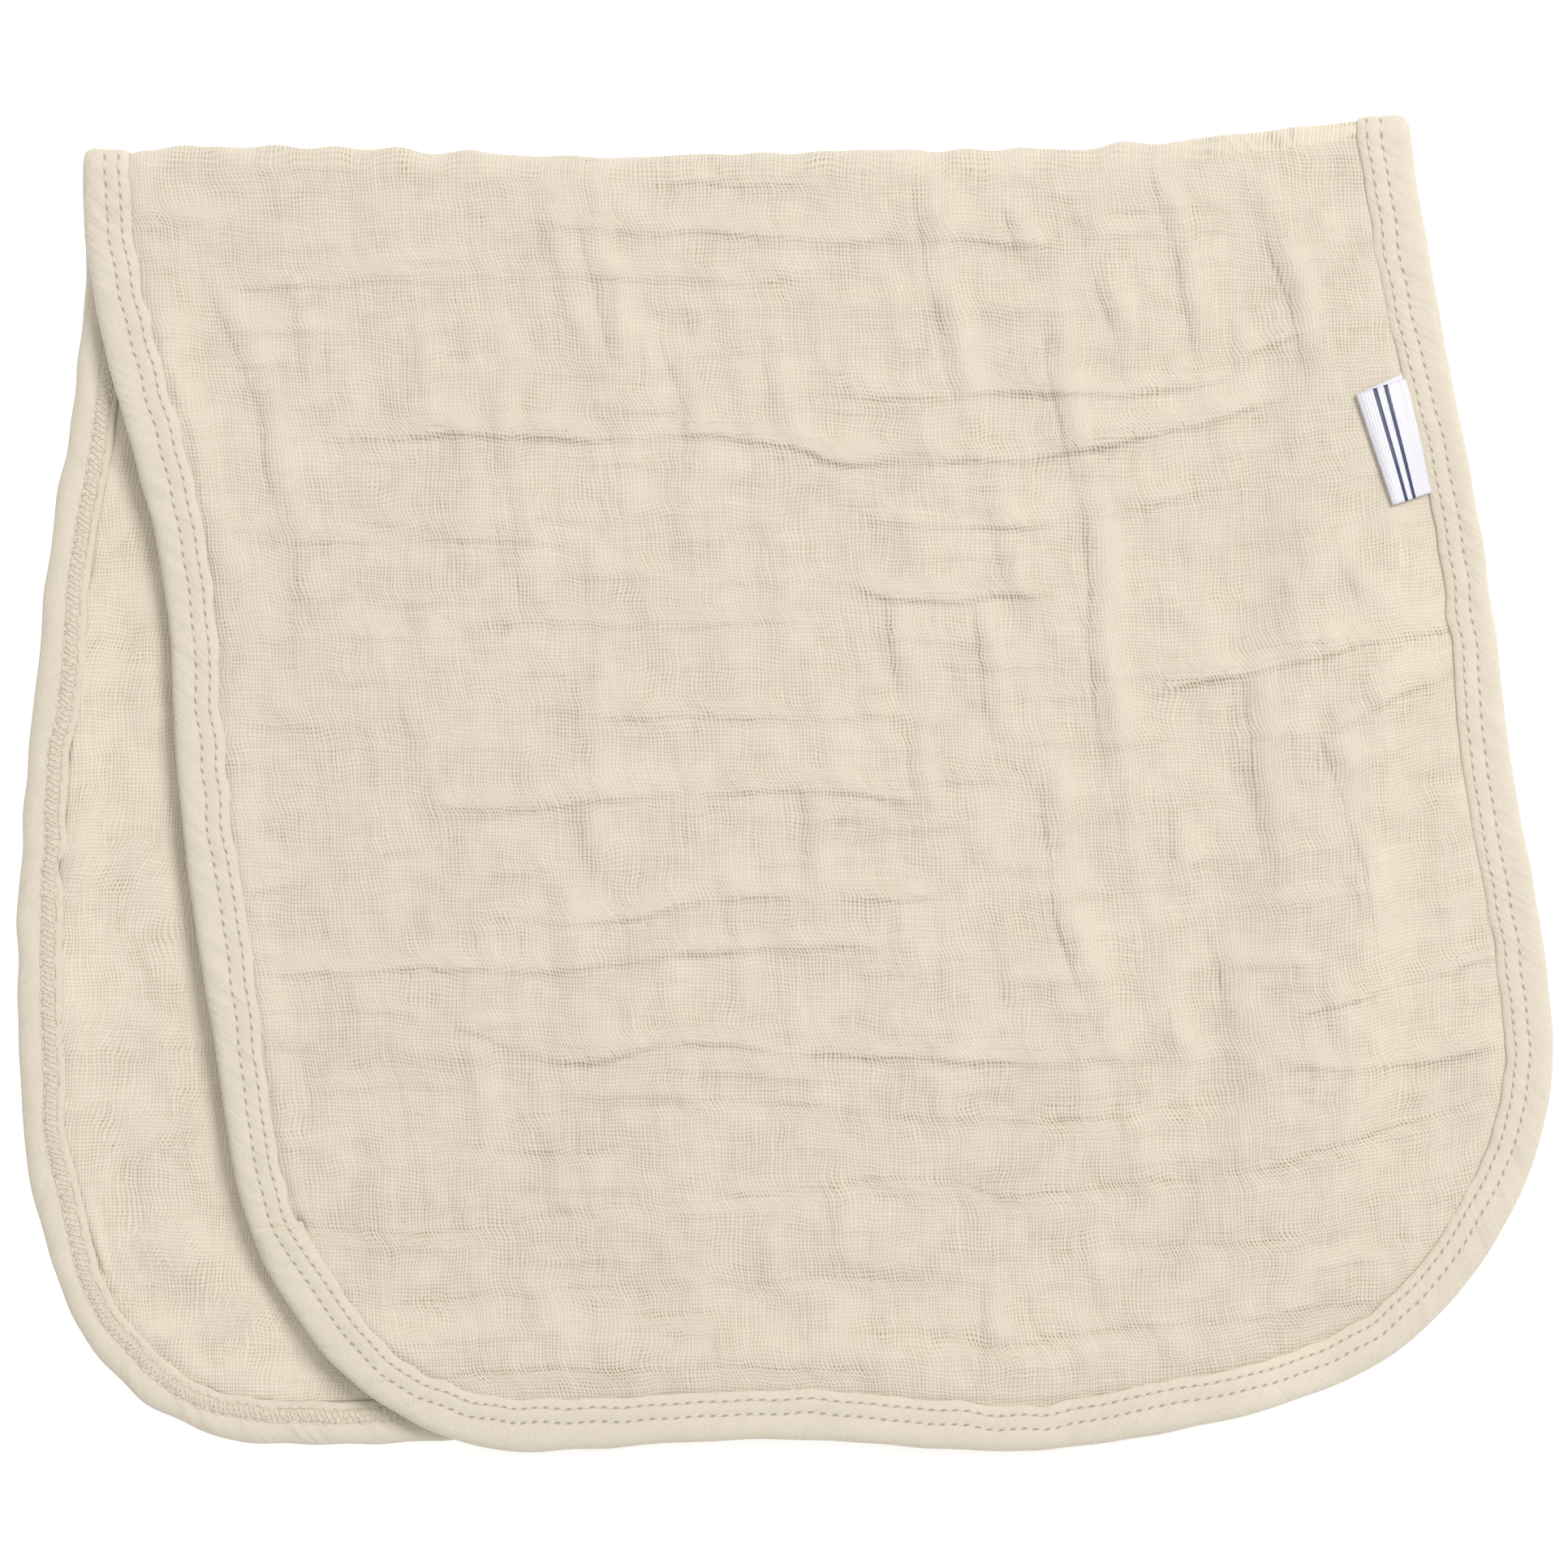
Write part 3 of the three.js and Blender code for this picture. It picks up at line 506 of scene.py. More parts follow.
def smooth_path(places):
    """A line of points every few millimetres on a smooth curve through a few places"""
    places = np.array(places, float)
    steps = np.hypot(*np.diff(places, axis=0).T)
    reach = np.append(0, np.cumsum(steps))
    at = np.linspace(0, reach[-1], max(2, int(reach[-1] / 3)))
    rows = np.column_stack([reach, places]).tolist()
    return np.stack([read_table(rows, 1, at), read_table(rows, 2, at)], 1)


class Creases:
    """What one family of creases does: the height that they add, how far they push the threads
    aside, and the distance to the nearest crease's sharp line, with how strong that one is"""

    def __init__(self, shape):
        self.height = np.zeros(shape)
        self.shift = np.zeros(shape)
        self.nearest = np.full(shape, np.inf)
        self.line = np.full(shape, NO_LINE_NEAR)
        self.strength = np.zeros(shape)

    def lay(self, kind, strength, wide, across, run, length, sharp=1.0):
        """Adds a crease: across is the signed distance from it, run the place along it"""
        section = CREASE_SECTIONS[kind]
        foot, crest, tail = section["foot"], section["crest"], section["tail"]

        def sines(rows):
            return sum(size * np.sin(run / each + turn * length) for size, each, turn in rows)

        across = across + sines(CREASE_WANDER)
        fade = smooth(run, -4, 6) * smooth(length - run, -4, 6)
        uneven = strength * fade * (1 + sines(CREASE_BREAKS))
        d = across / wide
        climb = np.clip((d - foot) / (crest - foot), 0, 1)
        fall = np.exp(-((np.maximum(d - crest, 0) / tail) ** 2))
        self.height += section["height"] * uneven * climb * fall
        lit = crest + tail / 2 if section["height"] > 0 else foot / 2
        beyond = d - lit
        self.shift += uneven * np.tanh(1.8 * beyond) * np.exp(-((beyond / 2.8) ** 2))
        edge = across - wide * section["line"]
        gap = np.abs(edge) + 8 * (fade <= 0)
        nearer = gap < self.nearest
        self.nearest = np.where(nearer, gap, self.nearest)
        self.line = np.where(nearer, edge, self.line)
        marked = sharp * section["sharp"] * uneven * (1 - smooth(gap, *LINE_REACH))
        self.strength = np.where(nearer, marked, self.strength)

    def lay_rows(self, kind, rows, x, y):
        for strength, wide, places in rows:
            across, _, run, length = beside(smooth_path(places), x, y)
            self.lay(kind, strength, wide, across, run, length)

    def lay_small(self, kind, along, aside, seed):
        """Adds the small creases, each straight in the cloth's own directions"""
        draw = np.random.default_rng(seed)
        for level in np.arange(aside.min(), aside.max(), SMALL_CREASE_PITCH):
            place = along.min() - draw.uniform(0, 20)
            while place < along.max():
                length = draw.uniform(*SMALL_CREASE_LENGTHS)
                strength = draw.uniform(*SMALL_CREASE_STRENGTHS)
                offset = level + draw.uniform(-0.4, 0.4) * SMALL_CREASE_PITCH
                lean = draw.uniform(-0.05, 0.05)
                run = along - place
                across = aside - offset - lean * run
                wide = draw.uniform(2.0, 2.8)
                self.lay(kind, strength, wide, across, run, length, SMALL_CREASE_SHARP)
                place += length + draw.uniform(0, 14)


def ridge_field(rows, x, y):
    height = np.zeros(x.shape)
    for strength, wide, places in rows:
        across, _, run, length = beside(smooth_path(places), x, y)
        fade = smooth(run, -5, 7) * smooth(length - run, -5, 7)
        height += strength * fade * np.exp(-((across / wide) ** 2))
    return height


def unevenness(x, y, rows):
    return sum(height * soft_noise(x, y, size, seed) for height, size, seed in rows)


def gathers(run, seed):
    """Small ripples along an edge, uneven in pitch"""
    draw = np.random.default_rng(seed)
    waves = [(draw.uniform(3.6, 7.5), draw.uniform(0, math.tau)) for _ in range(9)]
    return sum(np.cos(run * math.tau / pitch + phase) for pitch, phase in waves) / 3


label_middle = (
    (LABEL["fold_top"][0] + LABEL["fold_bottom"][0]) / 2 + 4,
    (LABEL["fold_top"][1] + LABEL["fold_bottom"][1]) / 2,
)


def upper_creases(x, y, u, v):
    across, down = Creases(x.shape), Creases(x.shape)
    across.lay_small("across", u, v, 31)
    down.lay_small("down", -v, u, 32)
    across.lay_rows("across", CREASES_ACROSS, x, y)
    across.lay_rows("valley", VALLEYS_ACROSS, x, y)
    down.lay_rows("down", CREASES_DOWN, x, y)
    return across, down


def upper_layer(x, y, creased=True):
    """Middle surface of the upper layer, half its thickness, its place on the flat cloth, and
    the sharp lines of its creases"""
    from_fold = FOLD_AXIS_Y - y
    right = np.maximum(x - WEFT_RISE["from_x"], 0)
    rise = WEFT_RISE["bow"] * right**2 * smooth(from_fold, 0, WEFT_RISE["below_fold"])
    u = x - from_fold * UPPER_TILT
    v = -from_fold - rise
    relief = ridge_field(RIDGES, x, y) + unevenness(x, y, UPPER_UNEVEN)
    lines = []
    if creased:
        across, down = upper_creases(x, y, u, v)
        relief += across.height + down.height
        u = u + THREAD_SHIFT_ACROSS * across.shift
        v = v - THREAD_SHIFT_DOWN * down.shift
        lines = [np.stack([c.line, c.strength, c.height], -1) for c in (across, down)]
    _, inset, run, _ = beside(upper_edge.path(), x, y)
    near_tape = np.exp(-np.maximum(inset - TAPE_WIDTH, 0) / 4.5)
    relief = relief * (1 - RELIEF_LOST_AT_TAPE * near_tape)
    relief += UPPER_GATHERS * near_tape * (1 + gathers(run, 4))
    raised = PUFF + relief
    raised = (raised + np.sqrt(raised**2 + 0.2)) / 2
    to_label = np.hypot(x - label_middle[0], y - label_middle[1])
    free = smooth(to_label, LABEL_REACH - LABEL_SETTLES_OVER, LABEL_REACH)
    mean = lerp(LABEL_PAD, PUFF, free)
    relief = (raised - PUFF) * lerp(0.3, 1, free)
    top = PANEL_HALF + 2 * FOLD_RADIUS
    field = lerp(top, resting_height(x, y) + mean, settled(y)) + relief * smooth(from_fold, 0, 9)
    edge = np.interp(run, edge_marks, edge_heights)
    height = lerp(edge, field, smooth(inset, 9, 17))
    height += UPPER_ROLL * (smooth(inset, 9, 10.6) - smooth(inset, 11, 16)) * settled(y)
    to_lap = np.hypot(x - LAP_HOLLOW["x"], 0.6 * (y - LAP_HOLLOW["y"])) / LAP_HOLLOW["wide"]
    height -= LAP_HOLLOW["deep"] * np.exp(-(to_lap**2))
    half = lerp(PANEL_HALF_IN_TAPE, PANEL_HALF, smooth(inset, 9, 11))
    return height, half, np.stack([u, v - HALF_BEND], -1), lines


def lower_layer(x, y):
    """The same for the lower layer, with the relief of its upper face. The layer lies flat,
    shows that face at the left, and has no creases down the cloth"""
    _, inset, run, _ = beside(lower_edge.path(), x, y)
    side, gap, _, _ = beside(upper_edge.path(), x, y)
    shows = smooth(-np.sign(side) * gap, -1, 5)
    from_fold = FOLD_AXIS_Y - y
    u = x + from_fold * LOWER_TILT
    across, down = Creases(x.shape), Creases(x.shape)
    across.lay_small("across", u, -from_fold, 33)
    across.lay_rows("across", LOWER_CREASES, x, y)
    relief = across.height + unevenness(x, y, LOWER_UNEVEN)
    near_tape = np.exp(-np.maximum(inset - WEB_WIDTH, 0) / 5)
    relief = (relief + LOWER_GATHERS * near_tape * gathers(run, 7)) * shows
    half = lerp(PANEL_HALF_IN_TAPE, PANEL_HALF, smooth(inset, 8.4, 10))
    middle = lerp(TAPE_HALF_HEIGHT, PANEL_HALF, smooth(inset, 8.4, 17))
    place = np.stack([u - THREAD_SHIFT_ACROSS * across.shift, from_fold + HALF_BEND], -1)
    lines = [
        np.stack([c.line, LOWER_LINE_SHARE * shows * c.strength, LOWER_HEIGHT_SHARE * c.height], -1)
        for c in (across, down)
    ]
    return middle, half, relief, place, lines


def panel_rows(outline, shares, columns):
    """Places of the panel's grid on one layer, from the fold (share 0) to the hem (share 1)"""
    v = shares[:, None]
    u = columns[None, :]
    left = np.array(outline.inset(shares * outline.left_middle, PANEL_RIM_INSET))
    far = outline.total - shares * (outline.total - outline.right_middle)
    right = np.array(outline.inset(far, PANEL_RIM_INSET))
    along_hem = lerp(outline.left_middle, outline.right_middle, columns)
    hem = np.array(outline.inset(along_hem, PANEL_RIM_INSET))
    fold_x = lerp(left[0, 0], right[0, 0], columns)
    bow = FOLD_AXIS_Y + read_table(FOLD_WAVE, 1, fold_x)
    bow -= lerp(bow[0], bow[-1], columns)
    fold = np.array([fold_x, lerp(left[1, 0], right[1, 0], columns) + bow])
    places = []
    for axis in (0, 1):
        a, b, c, d = fold[axis, 0], fold[axis, -1], hem[axis, 0], hem[axis, -1]
        places.append(
            (1 - v) * fold[axis] + v * hem[axis]
            + (1 - u) * left[axis][:, None] + u * right[axis][:, None]
            - (1 - u) * (1 - v) * a - u * (1 - v) * b - (1 - u) * v * c - u * v * d
        )
    return places


def new_piece(name, points, faces, cloth_at, material):
    """A piece from points in millimetres; cloth_at is each face corner's place on the flat cloth"""
    mesh = bpy.data.meshes.new(name)
    mesh.from_pydata((points * MM).tolist(), [], faces)
    layer = mesh.uv_layers.new(name=CLOTH_MAP)
    layer.uv.foreach_set("vector", np.asarray(cloth_at, np.float32).ravel())
    mesh.shade_smooth()
    mesh.materials.append(material)
    piece = bpy.data.objects.new(name, mesh)
    bpy.context.scene.collection.objects.link(piece)
    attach(piece, "root")
    return piece


def grid_faces(index):
    faces = np.stack([index[:-1, :-1], index[1:, :-1], index[1:, 1:], index[:-1, 1:]], -1)
    return faces.reshape(-1, 4)


def rim_faces(index, within):
    """Faces between the rims of the outer grid and of the inner one, which is half as fine"""
    def rim(grid):
        return np.concatenate([grid[:-1, 0], grid[-1, :-1], grid[:0:-1, -1], grid[0, :0:-1]])

    fine, half = rim(index), rim(within)
    start, middle, end = fine[::2], fine[1::2], np.roll(fine[::2], -1)
    return np.stack([start, half, np.roll(half, -1), end, middle], -1)


def gauze_panel(material):
    """The panel: one sheet of gauze from the lower hem up to the fold, round it and down"""
    ends = np.linspace(0, FINE_SHARE, FINE_COLUMNS, endpoint=False)
    middle = np.linspace(FINE_SHARE, 1 - FINE_SHARE, EVEN_COLUMNS)
    columns = np.concatenate([ends, middle, 1 - ends[::-1]])
    upper_shares = np.concatenate([
        np.linspace(0, 1 - FINE_SHARE, UPPER_EVEN_ROWS, endpoint=False),
        np.linspace(1 - FINE_SHARE, 1, UPPER_FINE_ROWS),
    ])
    lower_shares = np.concatenate([
        np.linspace(1, 1 - FINE_SHARE, LOWER_FINE_ROWS, endpoint=False),
        np.linspace(1 - FINE_SHARE, 0, LOWER_EVEN_ROWS),
    ])

    x, y = panel_rows(upper_edge, upper_shares, columns)
    height, half, upper_map, upper_lines = upper_layer(x, y)
    upper_out = np.stack([x, y, height + half], -1)
    upper_in = np.stack([x, y, height - half], -1)

    x, y = panel_rows(lower_edge, lower_shares, columns)
    height, half, relief, lower_map, lower_lines = lower_layer(x, y)
    lower_out = np.stack([x, y, height - half], -1)
    lower_in = np.stack([x, y, height + half + relief], -1)

    angle = np.linspace(-90, 90, BEND_ROWS + 2)[1:-1]
    turn = np.radians(angle)[:, None, None]
    share = (angle / 180 + 0.5)[:, None, None]
    out_way = np.concatenate([0 * turn, np.cos(turn), np.sin(turn)], -1)
    axis = lerp((lower_out[-1] + lower_in[-1]) / 2, (upper_out[0] + upper_in[0]) / 2, share)
    low_z = (lower_out[-1, :, 2] + lower_in[-1, :, 2]) / 2
    axis[..., 2] = low_z + FOLD_RADIUS
    half = (upper_out[0, :, 2] - upper_in[0, :, 2])[None, :, None] / 2
    along = axis[..., :1]
    puffs = unevenness(along, 14 * share, [BEND_UNEVEN]) * np.sin(math.pi * share)
    puffs *= smooth(along, along.min(), along.min() + 12)
    puffs *= 1 - smooth(along, along.max() - 12, along.max())
    bend_out = axis + out_way * (FOLD_RADIUS + puffs + half)
    bend_in = axis + out_way * (FOLD_RADIUS + puffs - half)
    bend_map = lerp(lower_map[-1], upper_map[0], share)

    outer = np.concatenate([lower_out, bend_out, upper_out])
    inner = np.concatenate([lower_in, bend_in, upper_in])
    cloth = np.concatenate([lower_map, bend_map, upper_map])
    no_lines = np.full((BEND_ROWS, len(columns), 3), (NO_LINE_NEAR, 0, 0))
    lines = [np.concatenate([low, no_lines, up]) for low, up in zip(lower_lines, upper_lines)]
    index = np.arange(outer[..., 0].size).reshape(outer.shape[:2])
    within = index.size + np.arange(inner[::2, ::2, 0].size).reshape(inner[::2, ::2].shape[:2])
    faces = [grid_faces(index), grid_faces(within)[:, ::-1], rim_faces(index, within)]
    points = np.concatenate([outer.reshape(-1, 3), inner[::2, ::2].reshape(-1, 3)])
    place = np.concatenate([cloth.reshape(-1, 2), cloth[::2, ::2].reshape(-1, 2)])
    corners = np.concatenate([rows.ravel() for rows in faces])
    panel = new_piece(
        "gauze_panel", points, [f for rows in faces for f in rows.tolist()], place[corners],
        material,
    )
    for name, field in zip(CREASE_LINES, lines):
        every = np.concatenate([field.reshape(-1, 3), field[::2, ::2].reshape(-1, 3)])
        layer = panel.data.attributes.new(name, "FLOAT_VECTOR", "POINT")
        layer.data.foreach_set("vector", every.astype(np.float32).ravel())
    return panel


class TapeLine:
    """The outer edge as one closed line: lower layer, round the fold, upper layer, and back"""

    def __init__(self, spacing):
        lower = np.linspace(0, lower_edge.total, int(lower_edge.total / spacing))
        upper = np.linspace(upper_edge.total, 0, int(upper_edge.total / spacing))
        low_x, low_y, low_in_x, low_in_y = lower_edge.station(lower)
        up_x, up_y, up_in_x, up_in_y = upper_edge.station(upper)
        angle = np.radians(np.linspace(-90, 90, BEND_ROWS + 2)[1:-1])
        share = angle / math.pi + 0.5
        bends = []
        for low, up, way in ((-1, 0, -1), (0, -1, 1)):
            bends.append({
                "x": lerp(low_x[low], up_x[up], share),
                "y": lerp(low_y[low], up_y[up], share) + FOLD_RADIUS * np.cos(angle),
                "in_x": np.full(len(angle), float(way)),
                "in_y": np.zeros(len(angle)),
                "z": TAPE_HALF_HEIGHT + FOLD_RADIUS * (1 + np.sin(angle)),
                "out_y": np.cos(angle),
                "out_z": np.sin(angle),
            })
        first = {
            "x": low_x, "y": low_y, "in_x": low_in_x, "in_y": low_in_y,
            "z": np.full(len(low_x), TAPE_HALF_HEIGHT),
            "out_y": np.zeros(len(low_x)), "out_z": np.full(len(low_x), -1.0),
        }
        second = {
            "x": up_x, "y": up_y, "in_x": up_in_x, "in_y": up_in_y,
            "z": upper_edge_height(up_x, up_y, up_in_x, up_in_y),
            "out_y": np.zeros(len(up_x)), "out_z": np.ones(len(up_x)),
        }
        back = {name: values[::-1] for name, values in bends[1].items()}
        parts = [first, bends[0], second, back]
        self.values = {name: np.concatenate([part[name] for part in parts]) for name in first}
        v = self.values
        steps = np.sqrt(sum(np.diff(v[name], append=v[name][:1]) ** 2 for name in ("x", "y", "z")))
        self.reach = np.append(0, np.cumsum(steps))
        self.total = self.reach[-1]
        ends = np.cumsum([len(part["x"]) for part in parts])
        self.lower_end = self.reach[ends[0] - 1]
        self.upper_start = self.reach[ends[1]]
        self.upper_end = self.reach[ends[2] - 1]
        self.lap = self.near(TAPE_LAP["x"], TAPE_LAP["y"])
        self.seam = self.near(TAPE_SEAM["x"], TAPE_SEAM["y"])

    def read(self, name, at):
        closed = np.append(self.values[name], self.values[name][0])
        return np.interp(at % self.total, self.reach, closed)

    def near(self, x, y):
        """Distance along the line of the upper layer's place nearest to (x, y)"""
        on_upper = self.values["out_z"] == 1
        gap = np.hypot(self.values["x"] - x, self.values["y"] - y) + 1e3 * ~on_upper
        return self.reach[np.argmin(gap)]

    def waver(self, at, inset):
        """The needle's rows and the tape's inner edge waver, and the tape's upper end is wider"""
        good = smooth(self.read("out_z", at), -0.5, 0.5)
        drift = lerp(unevenness(at, 0 * at, [WEB_WAVER]),
                     read_table(ROWS_DRIFT, 1, self.upper_end - at), good)
        drift += unevenness(at, 0 * at, [ROWS_WAVER])
        ragged = unevenness(at, 0 * at, [INNER_EDGE_FRAYS]) * smooth(inset, 7.8, 9)
        before = self.lap - at
        wider = TAPE_LAP_WIDENS * smooth(before, -0.3, 0.3) * np.exp(-np.maximum(before, 0) / 12)
        wavy = lerp(OUTER_WAVER["other"], OUTER_WAVER["good"], good)
        wavy = wavy * soft_noise(at, 0 * at, OUTER_WAVER["size"], 17)
        outer = wavy * (1 - smooth(inset, 2, 4))
        moved = outer + drift * smooth(inset, 2, 5) + ragged
        return inset + moved + wider * smooth(inset, 7.8, 8.8)

    def wrinkle(self, at, inset, height):
        """Drag wrinkles, which run across the tape at a slant, and the tape's lap and its seam"""
        along, slant = at + 0.9 * inset, at - 0.9 * inset
        amount = 0.08 + 0.05 * soft_noise(at, 0 * at, 40, 14)
        on_roll = smooth(inset, 0.3, 2) * (1 - 0.55 * smooth(inset, 4, 5.5))
        folds = soft_noise(along, slant / 5, 3.4, 15) * amount * on_roll
        good = smooth(height, 0.6, 1.4)
        before = self.lap - at - 0.3 * (inset - 5)
        step = TAPE_LAP_STEP * np.exp(-((np.maximum(before, 0) / 7) ** 2))
        step *= smooth(before, -0.25, 0.2)
        step -= TAPE_GROOVE * np.exp(-(((before + 0.7) / 0.5) ** 2))
        seam = at - self.seam - 0.55 * (inset - 5)
        step -= TAPE_GROOVE * np.exp(-((seam / 0.7) ** 2))
        step += TAPE_SEAM_RIDGE * np.exp(-(((seam - 1.8) / 1.2) ** 2))
        return np.sign(height) * folds + good * smooth(inset, 0.5, 2) * step

    def point(self, at, inset, height):
        """A place on the tape: so far along it, inset from its outer edge, at some height"""
        moved = self.waver(at, inset)
        rise = height + self.wrinkle(at, inset, height) * smooth(np.abs(height), 1.1, 1.35)
        x = self.read("x", at) + moved * self.read("in_x", at)
        y = self.read("y", at) + moved * self.read("in_y", at) + rise * self.read("out_y", at)
        z = self.read("z", at) + rise * self.read("out_z", at)
        return np.stack([x, y, np.maximum(z, 0.02)], -1)


def bias_binding(line, material):
    """The tape: its section, with the roll at its edge and the stitched rows, swept all round"""
    section = np.array(TAPE_SECTION)
    even = np.linspace(0, line.total, int(line.total / TAPE_SPACING), endpoint=False)
    close = np.linspace(-2, 2, 25)
    stations = np.sort(np.concatenate([even, line.lap + close, line.seam + 2 * close]))
    count, sides = len(stations), len(section)
    at = stations[:, None] + 0 * section[None, :, 0]
    inset = section[None, :, 0] + 0 * at
    height = section[None, :, 1] + 0 * at
    points = line.point(at, inset, height).reshape(-1, 3)
    here = np.arange(count)[:, None]
    k = np.arange(sides)[None, :]
    ahead = (here + 1) % count
    follow = (k + 1) % sides
    faces = np.stack([
        here * sides + k, here * sides + follow, ahead * sides + follow, ahead * sides + k,
    ], -1).reshape(-1, 4)
    mapped = section[:, 0] * np.where(section[:, 1] < 0, -1, 1)
    ends = np.append(stations[1:], line.total)
    start, end = stations[:, None] + 0 * k, ends[:, None] + 0 * k
    u = np.stack([start, start, end, end], -1)
    v = np.stack([mapped[k], mapped[follow], mapped[follow], mapped[k]], -1) + 0 * u
    cloth_at = np.stack([u, v], -1)
    return new_piece("bias_binding", points, faces.tolist(), cloth_at, material)


def threads(name, runs, radius, sides, material):
    """Many short lengths of thread, each a round tube along its row of points"""
    angle = np.linspace(0, math.tau, sides, endpoint=False)
    points, faces, cloth_at = [], [], []
    for run in runs:
        run = np.asarray(run)
        ahead = np.gradient(run, axis=0)
        ahead /= np.linalg.norm(ahead, axis=1)[:, None]
        level = np.cross(ahead, [0, 0, 1])
        level /= np.linalg.norm(level, axis=1)[:, None]
        up = np.cross(level, ahead)
        taper = np.full(len(run), radius)
        taper[[0, -1]] *= 0.55
        ring = (
            run[:, None]
            + taper[:, None, None] * np.cos(angle)[None, :, None] * level[:, None]
            + taper[:, None, None] * np.sin(angle)[None, :, None] * up[:, None]
        )
        start = sum(len(p) for p in points)
        points.append(ring.reshape(-1, 3))
        for k in range(len(run) - 1):
            for m in range(sides):
                n = (m + 1) % sides
                row, above = start + k * sides, start + (k + 1) * sides
                faces.append([row + m, above + m, above + n, row + n])
                cloth_at += [(k, m), (k + 1, m), (k + 1, m + 1), (k, m + 1)]
        last = start + (len(run) - 1) * sides
        faces.append([start + m for m in range(sides)])
        faces.append([last + m for m in reversed(range(sides))])
        cloth_at += [(0, m) for m in range(sides)] + [(len(run), m) for m in range(sides)]
    return new_piece(name, np.concatenate(points), faces, cloth_at, material)


def needle_stitches(line, material):
    """Two rows of straight stitches on the good face: each dips into the tape at both ends"""
    runs = []
    t = np.linspace(0, 1, 7)
    for inset in GOOD_ROWS:
        first = math.floor((line.upper_start - 3) / STITCH)
        for start in range(first, math.ceil((line.upper_end + 3) / STITCH)):
            at = (start + 0.2 + 0.6 * t) * STITCH
            lift = STITCH_LIES + STITCH_STANDS * np.sin(math.pi * t) ** 0.7
            runs.append(line.point(at, inset + 0.12 * (t - 0.5), lift))
    return threads("needle_stitches", runs, STITCH_RADIUS, 6, material)


def looper_web(line, material):
    """On the other face the looper thread goes to and fro between the two rows, unevenly"""
    draw = np.random.default_rng(16)
    runs = []
    t = np.linspace(0, 1, 5)
    first, second = WEB_ROWS
    arch = np.sin(math.pi * t)
    for k in range(int(line.lower_end / STITCH)):
        for crossing in range(WEB_CROSSINGS):
            near, far = (first, second) if crossing % 2 == 0 else (second, first)
            ends = draw.uniform(-0.35, 0.35, 2)
            at = (k + crossing / WEB_CROSSINGS + 0.6 * t) * STITCH + lerp(*ends, t)
            runs.append(line.point(at, lerp(near, far, t), -1.56 - 0.14 * arch))
        for row, slip in zip(WEB_ROWS, draw.uniform(-0.3, 0.3, 2)):
            runs.append(line.point((k + t) * STITCH, row + slip * arch, -1.46 - 0.16 * arch))
    return threads("looper_web", runs, WEB_RADIUS, 5, material)


